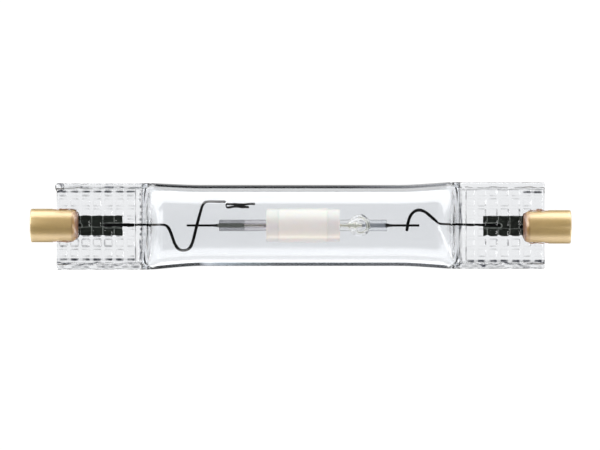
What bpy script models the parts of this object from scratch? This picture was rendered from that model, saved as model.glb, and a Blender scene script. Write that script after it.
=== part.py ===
"""Double-ended ceramic metal halide lamp, lying on its glass with both pinches level.

The lamp's axis runs along X. The two pinches are flat in the XY plane, and the glass rests on Z = 0.
Every part is built round the axis and is carried by one empty, which lifts the axis to its height.
"""

import math

import bmesh
import bpy
from mathutils import Matrix, Vector

MM = 0.001
LEFT = -1
RIGHT = 1
SIDES = {"left": LEFT, "right": RIGHT}

# Ceramic caps, with the contacts sunk into their ends. With the glass and the arc tube, these sizes
# add up to 117.6 mm over the caps and 114.2 mm between the contacts
CAP_LENGTH = 10.4 * MM
CAP_DIAMETER = 7.3 * MM
CAP_MOUTH_ROUND = 1.4 * MM
CAP_RIM_CHAMFER = 0.2 * MM
# How far each cap, with what it holds, is cemented off the lamp's axis, along Y
CAP_SHIFT = {"left": 0.0 * MM, "right": -0.3 * MM}
CONTACT_DEPTH = 1.7 * MM
CONTACT_DIAMETER = 4.5 * MM
CONTACT_THICKNESS = 1.0 * MM
CONTACT_EDGE = 0.2 * MM
SHANK_DIAMETER = 2.0 * MM
SHANK_LENGTH = 1.5 * MM
LEAD_BEYOND_PINCH = 1.5 * MM
CEMENT_WALL = 0.6 * MM
CEMENT_THICKNESS = 0.7 * MM
JAW_CLEARANCE = 0.1 * MM

# Fused quartz envelope
TUBE_DIAMETER = 17.8 * MM
TUBE_WALL = 1.2 * MM
FLARE_LENGTH = 4.2 * MM
SHOULDER_LENGTH = 9.0 * MM
SHOULDER_WALL = 1.0 * MM
PINCH_LENGTH = 18.5 * MM
PINCH_WIDTH = 19.1 * MM
WEB_THICKNESS = 2.2 * MM
RAIL_WIDTH = 1.5 * MM
RAIL_THICKNESS = 3.4 * MM
RAIL_ROUND = 0.8 * MM
RAIL_BLEND = 0.6 * MM
RIDGE_WIDTH = 1.0 * MM
RIDGE_HEIGHT = 0.35 * MM
CAVITY_END_WALL = 0.9 * MM
CAVITY_END_CLEARANCE = 0.1 * MM
CAVITY_CORNER = 1.8 * MM
PAD_PITCH_ALONG = 2.46 * MM
PAD_PITCH_ACROSS = 2.2 * MM
PAD_ROWS_SHIFT = 0.65 * MM
PAD_SIZE = 1.6 * MM
PAD_SLOPE = 0.12 * MM
PAD_HEIGHT = 0.2 * MM
PAD_ROOT = 0.15 * MM
TIP_X = 12.5 * MM
TIP_DIAMETER = 4.6 * MM
TIP_HEIGHT = 1.5 * MM
BEAD_LENGTH = 1.1 * MM
BEAD_WIDTH = 2.2 * MM
BEAD_THICKNESS = 1.5 * MM

# Foils and leads through the pinches
FOIL_WIDTH = 4.4 * MM
FOIL_THICKNESS = 0.08 * MM
FOIL_INSET = {"left": 4.3 * MM, "right": 5.15 * MM}
FOIL_OUTER_INSET = 2.8 * MM
INNER_LEAD_DIAMETER = 0.6 * MM
INNER_LEAD_LAP = 3.9 * MM
OUTER_LEAD_DIAMETER = 0.6 * MM
OUTER_LEAD_LAP = 2.5 * MM
SEAL_CLEARANCE = 0.05 * MM
WELD_GAP = 0.03 * MM

# Arc tube of sintered alumina
ARC_TUBE_X = 0.5 * MM
ARC_TUBE_LENGTH = 16.0 * MM
ARC_TUBE_DIAMETER = 7.5 * MM
ARC_TUBE_WALL = 0.9 * MM
PLUG_THICKNESS = 2.7 * MM
CAPILLARY_LENGTH = 10.3 * MM
CAPILLARY_DIAMETER = 2.5 * MM
CAPILLARY_BORE = 1.0 * MM
SINTER_GAP = 0.03 * MM

# Current path through each capillary
NIOBIUM_DIAMETER = 0.5 * MM
NIOBIUM_EXPOSED = 7.05 * MM
WIRE_END_TO_CAVITY_END = 8.35 * MM
SEAL_DEPTH = 5.4 * MM
FRIT_BEAD_LENGTH = 1.3 * MM
FRIT_BEAD_BASE = 0.2 * MM
FRIT_BEAD_SHOULDER = 0.8 * MM
FRIT_BEAD_LIP = 0.05 * MM
BORE_CLEARANCE = 0.2 * MM
MOLYBDENUM_INSET = 0.5 * MM
ELECTRODE_DIAMETER = 0.4 * MM
ELECTRODE_REACH = 2.2 * MM
COIL_WIRE_DIAMETER = 0.2 * MM
COIL_TURNS = 5
COIL_PITCH = 0.24 * MM
COIL_SETBACK = 0.4 * MM
JOINT_GAP = 0.03 * MM
DOSE_LENGTH = 2.4 * MM
DOSE_WIDTH = 1.4 * MM
DOSE_HEIGHT = 0.5 * MM

# Bends of the two leads inside the glass, measured from where each is welded to its niobium wire
WELD_FROM_WIRE_END = 2.35 * MM
DIP_START = 6.3 * MM
DIP_NEAR = 4.16 * MM
DIP_FAR = 1.31 * MM
DIP_NEAR_TO_GLASS = 2.03 * MM
DIP_FAR_TO_GLASS = 2.56 * MM
RISE_RUN = 1.48 * MM
RISE_TO_GLASS = 2.5 * MM
GETTER_ARM = 6.45 * MM
DIP_START_BEND = 2.0 * MM
DIP_BEND = 1.35 * MM
RISE_BEND = 1.2 * MM
HOOK_RADIUS = 2.4 * MM
HOOK_CENTRE_RISE = 1.02 * MM
HOOK_TAIL = 2.25 * MM
HOOK_TAIL_LEAN = math.radians(8)
HOOK_SLOPE = math.radians(40)
HOOK_FOOT_BEND = 1.6 * MM

# Getter strip, folded to a V, at the free end of the left lead
GETTER_UPPER_LENGTH = 6.3 * MM
GETTER_LOWER_LENGTH = 5.1 * MM
GETTER_WIDTH = 2.4 * MM
GETTER_THICKNESS = 0.2 * MM
GETTER_FOLD_HEIGHT = 0.85 * MM
GETTER_PINCH_IN = 0.12 * MM
GETTER_WELD_OVERLAP = 0.25 * MM

# Facets: the number round the glass leaves a flat strip underneath, wide enough to rest on
TUBE_FACETS = 32
CAP_FACETS = 32
SMALL_FACETS = 20
WIRE_FACETS = 12
SHOULDER_STEPS = 7
CAVITY_END_STEPS = 8
TIP_STEPS = 5
MOUTH_STEPS = 4
FOLD_STEPS = 4
BLOB_SEGMENTS = 12
BLOB_RINGS = 8
WIRE_RESOLUTION = 2
COIL_RESOLUTION = 1
COIL_POINTS_PER_TURN = 8
BEND_STEP = math.radians(15)
SMOOTH_ANGLE = math.radians(35)
CUT_MARGIN = 1.0 * MM
SCREW_MERGE = 1e-6

# Places along the axis, on either side of the middle
CAVITY_END_X = ARC_TUBE_LENGTH / 2 + CAPILLARY_LENGTH + NIOBIUM_EXPOSED + WIRE_END_TO_CAVITY_END
PINCH_START_X = CAVITY_END_X + CAVITY_END_WALL
PINCH_END_X = PINCH_START_X + PINCH_LENGTH
SHANK_END_X = PINCH_END_X + LEAD_BEYOND_PINCH
CONTACT_FACE_X = SHANK_END_X + SHANK_LENGTH + CONTACT_THICKNESS
CAP_END_X = CONTACT_FACE_X + CONTACT_DEPTH
SLOT_BOTTOM_X = PINCH_END_X + CEMENT_THICKNESS + 2 * JAW_CLEARANCE
SHOULDER_START_X = PINCH_START_X - SHOULDER_LENGTH
FLARE_START_X = SHOULDER_START_X - FLARE_LENGTH
CAVITY_SHOULDER_X = SHOULDER_START_X - SHOULDER_WALL
FOIL_OUTER_X = PINCH_END_X - FOIL_OUTER_INSET
TUBE_RADIUS = TUBE_DIAMETER / 2
BORE_RADIUS = TUBE_RADIUS - TUBE_WALL
AXIS_HEIGHT = TUBE_RADIUS * math.cos(math.pi / TUBE_FACETS)

# Heights above the axis
LEAD_RADIUS = INNER_LEAD_DIAMETER / 2
NIOBIUM_RADIUS = NIOBIUM_DIAMETER / 2
CAPILLARY_BORE_RADIUS = CAPILLARY_BORE / 2
FOIL_Z = -(max(LEAD_RADIUS, OUTER_LEAD_DIAMETER / 2) + WELD_GAP + FOIL_THICKNESS / 2)
LEAD_Z_AT_WELD = -(NIOBIUM_RADIUS + LEAD_RADIUS + WELD_GAP)

LAMP_COLLECTION = "metal_halide_lamp"
CUTTER_COLLECTION = "cutters"


def clear_scene():
    for thing in list(bpy.data.objects):
        bpy.data.objects.remove(thing, do_unlink=True)


def new_collection(name):
    made = bpy.data.collections.new(name)
    bpy.context.scene.collection.children.link(made)
    return made


def add_axis(name, collection, place, carrier):
    axis = bpy.data.objects.new(name, None)
    collection.objects.link(axis)
    axis.location = place
    axis.parent = carrier
    return axis


def finish(name, colour, roughness, metallic=0.0, transmission=0.0):
    """A Principled material with one colour."""
    material = bpy.data.materials.new(name)
    material.use_nodes = True
    shader = material.node_tree.nodes["Principled BSDF"]
    shader.inputs["Base Color"].default_value = (*colour, 1.0)
    shader.inputs["Roughness"].default_value = roughness
    shader.inputs["Metallic"].default_value = metallic
    shader.inputs["Transmission Weight"].default_value = transmission
    material.diffuse_color = (*colour, 1.0)
    return material


def add_piece(name, data, material, carrier):
    """Puts a mesh or curve in the lamp's collection, carried by the axis empty."""
    piece = bpy.data.objects.new(name, data)
    bpy.data.collections[LAMP_COLLECTION].objects.link(piece)
    piece.parent = carrier
    data.materials.append(material)
    return piece


def add_cutter(name, data, carrier):
    cutter = bpy.data.objects.new(name, data)
    bpy.data.collections[CUTTER_COLLECTION].objects.link(cutter)
    cutter.parent = carrier
    cutter.hide_render = True
    cutter.display_type = "WIRE"
    return cutter


def combine(piece, other, operation):
    """A Boolean modifier on the piece, with the exact solver."""
    modifier = piece.modifiers.new(f"{operation.lower()} {other.name}", "BOOLEAN")
    modifier.operation = operation
    modifier.object = other
    modifier.solver = "EXACT"


def mesh_from(shape, name):
    mesh = bpy.data.meshes.new(name)
    shape.to_mesh(mesh)
    shape.free()
    mesh.shade_smooth()
    mesh.set_sharp_from_angle(angle=SMOOTH_ANGLE)
    return mesh


def profile_mesh(name, profile, closed):
    """The edges of a profile given as (radius, height) pairs, for a Screw modifier."""
    shape = bmesh.new()
    corners = [shape.verts.new((radius, 0, height)) for radius, height in profile]
    for first, second in zip(corners, corners[1:]):
        shape.edges.new((first, second))
    if closed:
        shape.edges.new((corners[-1], corners[0]))
    mesh = bpy.data.meshes.new(name)
    shape.to_mesh(mesh)
    shape.free()
    return mesh


def turn(piece, steps):
    """Turns a profile about its own height."""
    screw = piece.modifiers.new("turn", "SCREW")
    screw.angle = 2 * math.pi
    screw.steps = steps
    screw.render_steps = steps
    screw.use_merge_vertices = True
    screw.merge_threshold = SCREW_MERGE
    screw.use_smooth_shade = True


def turn_on_axis(piece, side, x, steps):
    """Turns a profile whose height runs along the lamp's axis, from a place on it to the given side."""
    turn(piece, steps)
    piece.rotation_euler = (0, side * math.pi / 2, 0)
    piece.location = (x, 0, 0)


def rod_shape(radius, x_from, x_to, segments):
    """A cylinder along X."""
    shape = bmesh.new()
    low, high = sorted((x_from, x_to))
    place = Matrix.Translation(((low + high) / 2, 0, 0)) @ Matrix.Rotation(math.pi / 2, 4, "Y")
    bmesh.ops.create_cone(
        shape, cap_ends=True, segments=segments, radius1=radius, radius2=radius, depth=high - low,
        matrix=place,
    )
    return shape


def box_shape(low, high):
    """A box between two corners."""
    shape = bmesh.new()
    size = Vector(high) - Vector(low)
    middle = (Vector(high) + Vector(low)) / 2
    place = Matrix.Translation(middle) @ Matrix.Diagonal((*size, 1))
    bmesh.ops.create_cube(shape, size=1, matrix=place)
    return shape


def wire(name, points, radius, material, carrier, resolution=WIRE_RESOLUTION):
    """A round wire through the points."""
    data = bpy.data.curves.new(name, "CURVE")
    data.dimensions = "3D"
    data.bevel_depth = radius
    data.bevel_resolution = resolution
    data.use_fill_caps = True
    spline = data.splines.new("POLY")
    spline.points.add(len(points) - 1)
    for place, point in zip(spline.points, points):
        place.co = (*point, 1)
    return add_piece(name, data, material, carrier)


def rounded_path(corners, radii):
    """A line through the corners, with each inner corner replaced by an arc of its own radius."""
    path = [Vector(corners[0])]
    for before, corner, after, radius in zip(corners, corners[1:], corners[2:], radii):
        corner = Vector(corner)
        back = (Vector(before) - corner).normalized()
        ahead = (Vector(after) - corner).normalized()
        opening = back.angle(ahead)
        turn_angle = math.pi - opening
        centre = corner + (back + ahead).normalized() * (radius / math.sin(opening / 2))
        start = corner + back * (radius / math.tan(opening / 2)) - centre
        axis = start.cross(ahead).normalized()
        steps = max(2, round(turn_angle / BEND_STEP))
        for step in range(steps + 1):
            path.append(centre + Matrix.Rotation(turn_angle * step / steps, 3, axis) @ start)
    path.append(Vector(corners[-1]))
    return path


def smooth(share):
    """Goes from 0 to 1 with level ends."""
    share = min(1.0, max(0.0, share))
    return share * share * (3 - 2 * share)


def plate_half_height(y, x):
    """Half the thickness of the pinch: a web, a rounded rail along each edge and a ridge at its start."""
    from_ridge = abs(x - PINCH_START_X - RIDGE_WIDTH / 2) / (RIDGE_WIDTH / 2)
    web = WEB_THICKNESS / 2 + RIDGE_HEIGHT * max(0.0, 1 - from_ridge)
    rail_start = PINCH_WIDTH / 2 - RAIL_WIDTH
    rise = smooth((abs(y) - rail_start) / RAIL_BLEND + 0.5)
    height = web + (RAIL_THICKNESS / 2 - web) * rise
    into_round = (abs(y) - PINCH_WIDTH / 2 + RAIL_ROUND) / RAIL_ROUND
    return height * math.sqrt(1 - min(1.0, max(0.0, into_round)) ** 2)


def outer_point(x, angle):
    """The outside of the glass at a place along the axis: a circle that blends into the pinch's section."""
    widening = smooth((abs(x) - FLARE_START_X) / (PINCH_START_X - FLARE_START_X))
    flattening = smooth((abs(x) - SHOULDER_START_X) / SHOULDER_LENGTH)
    half_width = TUBE_RADIUS + (PINCH_WIDTH / 2 - TUBE_RADIUS) * widening
    y = half_width * math.cos(angle)
    plate = plate_half_height(PINCH_WIDTH / 2 * math.cos(angle), abs(x))
    round_z = TUBE_RADIUS * math.sin(angle)
    return y, round_z + (math.copysign(plate, math.sin(angle)) - round_z) * flattening


def bore_point(x, angle):
    """The inside of the glass: an ellipse that flattens ahead of the outside and closes to a slit."""
    widening = smooth((abs(x) - FLARE_START_X) / (PINCH_START_X - FLARE_START_X))
    flattening = smooth((abs(x) - CAVITY_SHOULDER_X) / (CAVITY_END_X - CAVITY_SHOULDER_X))
    half_width = BORE_RADIUS + (PINCH_WIDTH / 2 - TUBE_RADIUS) * widening
    into_corner = max(0.0, abs(x) - CAVITY_END_X + CAVITY_CORNER) / CAVITY_CORNER
    half_width -= CAVITY_CORNER * (1 - math.sqrt(max(0.0, 1 - into_corner ** 2)))
    end_height = LEAD_RADIUS + CAVITY_END_CLEARANCE
    half_height = BORE_RADIUS + (end_height - BORE_RADIUS) * flattening
    return half_width * math.cos(angle), half_height * math.sin(angle)


def loft_shape(stations, section):
    """Joins the section at each station to the next, and closes both ends."""
    shape = bmesh.new()
    angles = [2 * math.pi * (step + 0.5) / TUBE_FACETS for step in range(TUBE_FACETS)]
    rings = [[shape.verts.new((x, *section(x, angle))) for angle in angles] for x in stations]
    for ring, following in zip(rings, rings[1:]):
        for step in range(TUBE_FACETS):
            beside = (step + 1) % TUBE_FACETS
            shape.faces.new((ring[step], ring[beside], following[beside], following[step]))
    shape.faces.new(rings[0])
    shape.faces.new(rings[-1])
    bmesh.ops.recalc_face_normals(shape, faces=shape.faces)
    return shape


def both_ways(places):
    """The same places on the left and on the right, in order."""
    return [-place for place in reversed(places)] + list(places)


def pads_shape():
    """The waffle of square pads that the pinching jaws press into both faces of each pinch."""
    shape = bmesh.new()
    columns = int((PINCH_LENGTH - RIDGE_WIDTH) / PAD_PITCH_ALONG)
    rows = int((PINCH_WIDTH - 2 * RAIL_WIDTH) / PAD_PITCH_ACROSS)
    middle_x = (PINCH_START_X + RIDGE_WIDTH + PINCH_END_X) / 2
    depth = PAD_HEIGHT + PAD_ROOT
    top = (PAD_SIZE / 2 - PAD_SLOPE) * math.sqrt(2)
    foot = top + PAD_SLOPE * math.sqrt(2) * depth / PAD_HEIGHT
    square = Matrix.Rotation(math.pi / 4, 4, "Z")
    for side in SIDES.values():
        for face in (Matrix.Identity(4), Matrix.Rotation(math.pi, 4, "X")):
            for column in range(columns):
                for row in range(rows):
                    x = side * middle_x + (column - (columns - 1) / 2) * PAD_PITCH_ALONG
                    y = (row - (rows - 1) / 2) * PAD_PITCH_ACROSS + PAD_ROWS_SHIFT
                    z = WEB_THICKNESS / 2 + PAD_HEIGHT - depth / 2
                    bmesh.ops.create_cone(
                        shape, cap_ends=True, segments=4, radius1=foot, radius2=top, depth=depth,
                        matrix=face @ Matrix.Translation((x, y, z)) @ square,
                    )
    return shape


def tip_profile():
    """The sealed exhaust stub: straight where it leaves the glass, then rounded over, top to bottom."""
    radius = TIP_DIAMETER / 2
    angles = [math.pi / 2 * step / TIP_STEPS for step in range(TIP_STEPS + 1)]
    dome = [(radius * math.sin(angle), TIP_HEIGHT * math.cos(angle)) for angle in angles]
    return dome + [(radius, -TUBE_WALL / 2), (0, -TUBE_WALL / 2)]


def build_envelope(carrier, cap_axes, glass):
    """One piece of quartz: tube, shoulders, pinches, exhaust tip and the passages that hold the leads."""
    shoulder = [
        SHOULDER_START_X + SHOULDER_LENGTH * step / SHOULDER_STEPS for step in range(SHOULDER_STEPS + 1)
    ]
    flare = [FLARE_START_X, (FLARE_START_X + SHOULDER_START_X) / 2]
    ridge = [PINCH_START_X + RIDGE_WIDTH / 2, PINCH_START_X + RIDGE_WIDTH]
    outside = loft_shape(both_ways(flare + shoulder + ridge + [PINCH_END_X]), outer_point)
    envelope = add_piece("quartz_envelope", mesh_from(outside, "quartz_envelope"), glass, carrier)

    pads = add_cutter("waffle_pads", mesh_from(pads_shape(), "waffle_pads"), carrier)
    combine(envelope, pads, "UNION")

    tip = add_cutter("exhaust_tip", profile_mesh("exhaust_tip", tip_profile(), closed=False), carrier)
    turn(tip, SMALL_FACETS)
    tip.location = (TIP_X, 0, TUBE_RADIUS)
    combine(envelope, tip, "UNION")

    bead_shape = bmesh.new()
    place = Matrix.Translation((-PINCH_END_X, PINCH_WIDTH / 2 - BEAD_WIDTH / 2 - RAIL_BLEND / 2, 0))
    scale = Matrix.Diagonal((BEAD_LENGTH / 2, BEAD_WIDTH / 2, BEAD_THICKNESS / 2, 1))
    bmesh.ops.create_uvsphere(
        bead_shape, u_segments=BLOB_SEGMENTS, v_segments=BLOB_RINGS, radius=1, matrix=place @ scale
    )
    bead = add_cutter("corner_bead", mesh_from(bead_shape, "corner_bead"), carrier)
    combine(envelope, bead, "UNION")

    cavity_end = [
        CAVITY_SHOULDER_X
        + (CAVITY_END_X - CAVITY_SHOULDER_X) * math.sin(math.pi / 2 * step / CAVITY_END_STEPS)
        for step in range(CAVITY_END_STEPS + 1)
    ]
    cavity = loft_shape(both_ways([FLARE_START_X] + cavity_end), bore_point)
    combine(envelope, add_cutter("cavity", mesh_from(cavity, "cavity"), carrier), "DIFFERENCE")

    for name, side in SIDES.items():
        for label, passage, holder in passages(name, side, carrier, cap_axes[name]):
            mesh = mesh_from(passage, label)
            combine(envelope, add_cutter(label, mesh, holder), "DIFFERENCE")


def foil_inner_x(name):
    return PINCH_START_X + FOIL_INSET[name]


def passages(name, side, carrier, cap_axis):
    """The close passages that a foil and its two leads fill in a pinch, from the cavity to the open end."""
    inner_x = foil_inner_x(name)
    half_width = FOIL_WIDTH / 2 + SEAL_CLEARANCE
    foil_low = FOIL_Z - FOIL_THICKNESS / 2 - SEAL_CLEARANCE
    foil_ends = sorted((side * (inner_x - SEAL_CLEARANCE), side * (FOIL_OUTER_X + SEAL_CLEARANCE)))
    inner_radius = LEAD_RADIUS + SEAL_CLEARANCE
    outer_radius = OUTER_LEAD_DIAMETER / 2 + SEAL_CLEARANCE
    lap_end = side * (inner_x + INNER_LEAD_LAP + SEAL_CLEARANCE)
    lap_start = side * (FOIL_OUTER_X - OUTER_LEAD_LAP - SEAL_CLEARANCE)
    cavity_x = side * (CAVITY_END_X - CUT_MARGIN)
    outer_end = side * (PINCH_END_X + CUT_MARGIN)
    foil_passage = box_shape(
        (foil_ends[0], -half_width, foil_low), (foil_ends[1], half_width, -LEAD_RADIUS / 2)
    )
    return [
        (f"{name}_foil_passage", foil_passage, carrier),
        (f"{name}_inner_passage", rod_shape(inner_radius, cavity_x, lap_end, WIRE_FACETS), carrier),
        (f"{name}_outer_passage", rod_shape(outer_radius, lap_start, outer_end, WIRE_FACETS), cap_axis),
    ]


def build_foil(name, side, carrier, molybdenum):
    half_width = FOIL_WIDTH / 2
    ends = sorted((side * foil_inner_x(name), side * FOIL_OUTER_X))
    low = (ends[0], -half_width, FOIL_Z - FOIL_THICKNESS / 2)
    high = (ends[1], half_width, FOIL_Z + FOIL_THICKNESS / 2)
    foil = box_shape(low, high)
    add_piece(f"{name}_foil", mesh_from(foil, f"{name}_foil"), molybdenum, carrier)


def build_outer_lead(name, side, cap_axis, molybdenum):
    lap_start = side * (FOIL_OUTER_X - OUTER_LEAD_LAP)
    lead = rod_shape(OUTER_LEAD_DIAMETER / 2, lap_start, side * (SHANK_END_X - WELD_GAP), WIRE_FACETS)
    add_piece(f"{name}_outer_lead", mesh_from(lead, f"{name}_outer_lead"), molybdenum, cap_axis)


def build_cap(name, side, cap_axis, ceramic):
    """A turned ceramic sleeve, bored for its contact and slotted to straddle the pinch."""
    radius = CAP_DIAMETER / 2
    recess = CONTACT_DIAMETER / 2 + JAW_CLEARANCE
    seat = -(CONTACT_DEPTH + CONTACT_THICKNESS + JAW_CLEARANCE)
    cement_bore = SHANK_DIAMETER / 2 + CEMENT_WALL + JAW_CLEARANCE
    bore_end = SLOT_BOTTOM_X - JAW_CLEARANCE - CAP_END_X
    mouth_start = CAP_MOUTH_ROUND - CAP_LENGTH
    angles = [math.pi / 2 * step / MOUTH_STEPS for step in range(MOUTH_STEPS + 1)]
    mouth = [
        (
            radius - CAP_MOUTH_ROUND * (1 - math.cos(angle)),
            mouth_start - CAP_MOUTH_ROUND * math.sin(angle),
        )
        for angle in angles
    ]
    profile = [(0, bore_end), (cement_bore, bore_end), (cement_bore, seat), (recess, seat), (recess, 0)]
    profile += [(radius - CAP_RIM_CHAMFER, 0), (radius, -CAP_RIM_CHAMFER)] + mouth + [(0, -CAP_LENGTH)]
    cap = add_piece(f"{name}_cap", profile_mesh(f"{name}_cap", profile, closed=False), ceramic, cap_axis)
    turn_on_axis(cap, side, side * CAP_END_X, CAP_FACETS)

    slot_height = WEB_THICKNESS / 2 + PAD_HEIGHT + JAW_CLEARANCE
    ends = sorted((side * SLOT_BOTTOM_X, side * (CAP_END_X - CAP_LENGTH - CUT_MARGIN)))
    slot = box_shape(
        (ends[0], -radius - CUT_MARGIN, -slot_height), (ends[1], radius + CUT_MARGIN, slot_height)
    )
    combine(cap, add_cutter(f"{name}_slot", mesh_from(slot, f"{name}_slot"), cap_axis), "DIFFERENCE")


def build_contact(name, side, cap_axis, metal):
    """A metal button at the bottom of the cap's recess, with a shank for the lead."""
    radius = CONTACT_DIAMETER / 2
    shank = SHANK_DIAMETER / 2
    back = -CONTACT_THICKNESS
    profile = [(0, 0), (radius - CONTACT_EDGE, 0), (radius, -CONTACT_EDGE), (radius, back), (shank, back)]
    profile += [(shank, back - SHANK_LENGTH), (0, back - SHANK_LENGTH)]
    mesh = profile_mesh(f"{name}_contact", profile, closed=False)
    contact = add_piece(f"{name}_contact", mesh, metal, cap_axis)
    turn_on_axis(contact, side, side * CONTACT_FACE_X, SMALL_FACETS)


def build_cement(name, side, cap_axis, cement):
    """Refractory cement: a sleeve round the shank and lead, and a pad in the slot behind the pinch."""
    sleeve_radius = SHANK_DIAMETER / 2 + CEMENT_WALL
    sleeve_top = CONTACT_FACE_X - CONTACT_THICKNESS - 2 * JAW_CLEARANCE
    pad_face = PINCH_END_X + JAW_CLEARANCE
    pad_radius = CAP_DIAMETER / 2 - JAW_CLEARANCE
    shank_hole = SHANK_DIAMETER / 2 + WELD_GAP
    lead_hole = OUTER_LEAD_DIAMETER / 2 + WELD_GAP
    pad_top = SLOT_BOTTOM_X - JAW_CLEARANCE
    profile = [
        (shank_hole, sleeve_top), (sleeve_radius, sleeve_top), (sleeve_radius, pad_top),
        (pad_radius, pad_top), (pad_radius, pad_face), (lead_hole, pad_face),
        (lead_hole, SHANK_END_X - WELD_GAP), (shank_hole, SHANK_END_X - WELD_GAP),
    ]
    mesh = profile_mesh(f"{name}_cement", profile, closed=True)
    piece = add_piece(f"{name}_cement", mesh, cement, cap_axis)
    turn_on_axis(piece, side, 0, CAP_FACETS)

    half_height = WEB_THICKNESS / 2 + PAD_HEIGHT
    ends = sorted((side * (pad_face - CUT_MARGIN), side * (CAP_END_X + CUT_MARGIN)))
    keep = box_shape(
        (ends[0], -CAP_DIAMETER, -half_height), (ends[1], CAP_DIAMETER, half_height)
    )
    bounds = add_cutter(f"{name}_cement_bounds", mesh_from(keep, f"{name}_cement_bounds"), cap_axis)
    combine(piece, bounds, "INTERSECT")


def body_end(side):
    return ARC_TUBE_X + side * ARC_TUBE_LENGTH / 2


def capillary_end(side):
    return body_end(side) + side * CAPILLARY_LENGTH


def niobium_end(side):
    return capillary_end(side) + side * NIOBIUM_EXPOSED


def weld_x(side):
    return niobium_end(side) - side * WELD_FROM_WIRE_END


def tube_ring(name, outer, inner, x_from, x_to, material, carrier, steps=SMALL_FACETS):
    """A plain tube along the axis."""
    low, high = sorted((x_from, x_to))
    profile = [(inner, high - low), (outer, high - low), (outer, 0), (inner, 0)]
    ring = add_piece(name, profile_mesh(name, profile, closed=True), material, carrier)
    turn_on_axis(ring, RIGHT, low, steps)


def build_arc_tube(carrier, alumina):
    """The discharge vessel: a cylinder, an end plug in each end and a capillary through each plug."""
    radius = ARC_TUBE_DIAMETER / 2
    bore = radius - ARC_TUBE_WALL
    tube_ring("arc_tube_body", radius, bore, body_end(LEFT), body_end(RIGHT), alumina, carrier, CAP_FACETS)
    for name, side in SIDES.items():
        plug_inner_x = body_end(side) - side * PLUG_THICKNESS
        capillary = CAPILLARY_DIAMETER / 2
        tube_ring(
            f"{name}_end_plug", bore - SINTER_GAP, capillary + SINTER_GAP, body_end(side), plug_inner_x,
            alumina, carrier,
        )
        tube_ring(
            f"{name}_capillary", capillary, CAPILLARY_BORE_RADIUS, capillary_end(side), plug_inner_x,
            alumina, carrier,
        )


def build_dose(carrier, salts):
    """The condensed salts, lying on the floor of the discharge vessel."""
    floor = ARC_TUBE_DIAMETER / 2 - ARC_TUBE_WALL
    lift = floor - math.sqrt(floor ** 2 - (DOSE_WIDTH / 2) ** 2) + JOINT_GAP
    shape = bmesh.new()
    place = Matrix.Translation((ARC_TUBE_X, 0, lift - floor + DOSE_HEIGHT / 2))
    scale = Matrix.Diagonal((DOSE_LENGTH / 2, DOSE_WIDTH / 2, DOSE_HEIGHT / 2, 1))
    bmesh.ops.create_uvsphere(
        shape, u_segments=BLOB_SEGMENTS, v_segments=BLOB_RINGS, radius=1, matrix=place @ scale
    )
    add_piece("halide_dose", mesh_from(shape, "halide_dose"), salts, carrier)


def build_feedthrough(name, side, carrier, finishes):
    """What runs through a capillary: niobium wire, sealing frit, molybdenum rod, tungsten rod and coil."""
    mouth = capillary_end(side)
    seal_end = mouth - side * SEAL_DEPTH
    wire_shape = rod_shape(NIOBIUM_RADIUS, niobium_end(side), seal_end, WIRE_FACETS)
    wire_mesh = mesh_from(wire_shape, f"{name}_niobium_wire")
    add_piece(f"{name}_niobium_wire", wire_mesh, finishes["niobium"], carrier)

    frit_hole = NIOBIUM_RADIUS + JOINT_GAP
    frit_radius = CAPILLARY_BORE_RADIUS - JOINT_GAP
    bead_radius = CAPILLARY_BORE_RADIUS + FRIT_BEAD_LIP
    profile = [
        (frit_hole, FRIT_BEAD_LENGTH), (frit_hole + JOINT_GAP, FRIT_BEAD_LENGTH),
        ((frit_hole + bead_radius) / 2, FRIT_BEAD_SHOULDER), (bead_radius, JOINT_GAP + FRIT_BEAD_BASE),
        (bead_radius, JOINT_GAP), (frit_radius, JOINT_GAP), (frit_radius, -SEAL_DEPTH),
        (frit_hole, -SEAL_DEPTH),
    ]
    frit_mesh = profile_mesh(f"{name}_frit_seal", profile, closed=True)
    frit = add_piece(f"{name}_frit_seal", frit_mesh, finishes["frit"], carrier)
    turn_on_axis(frit, side, mouth, SMALL_FACETS)

    rod_start = seal_end - side * JOINT_GAP
    rod_end = body_end(side) - side * MOLYBDENUM_INSET
    rod = rod_shape(CAPILLARY_BORE_RADIUS - BORE_CLEARANCE, rod_start, rod_end, WIRE_FACETS)
    rod_mesh = mesh_from(rod, f"{name}_molybdenum_rod")
    add_piece(f"{name}_molybdenum_rod", rod_mesh, finishes["molybdenum"], carrier)

    tip_x = body_end(side) - side * (PLUG_THICKNESS + ELECTRODE_REACH)
    electrode = rod_shape(ELECTRODE_DIAMETER / 2, rod_end - side * JOINT_GAP, tip_x, WIRE_FACETS)
    electrode_mesh = mesh_from(electrode, f"{name}_electrode_rod")
    add_piece(f"{name}_electrode_rod", electrode_mesh, finishes["tungsten"], carrier)

    coil_radius = ELECTRODE_DIAMETER / 2 + COIL_WIRE_DIAMETER / 2 + JOINT_GAP
    coil_start = tip_x + side * (COIL_SETBACK + COIL_WIRE_DIAMETER / 2)
    turns = [step / COIL_POINTS_PER_TURN for step in range(COIL_TURNS * COIL_POINTS_PER_TURN + 1)]
    helix = [
        (
            coil_start + side * COIL_PITCH * turned,
            coil_radius * math.cos(2 * math.pi * turned),
            coil_radius * math.sin(2 * math.pi * turned),
        )
        for turned in turns
    ]
    coil_name = f"{name}_electrode_coil"
    wire(coil_name, helix, COIL_WIRE_DIAMETER / 2, finishes["tungsten"], carrier, COIL_RESOLUTION)


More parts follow.
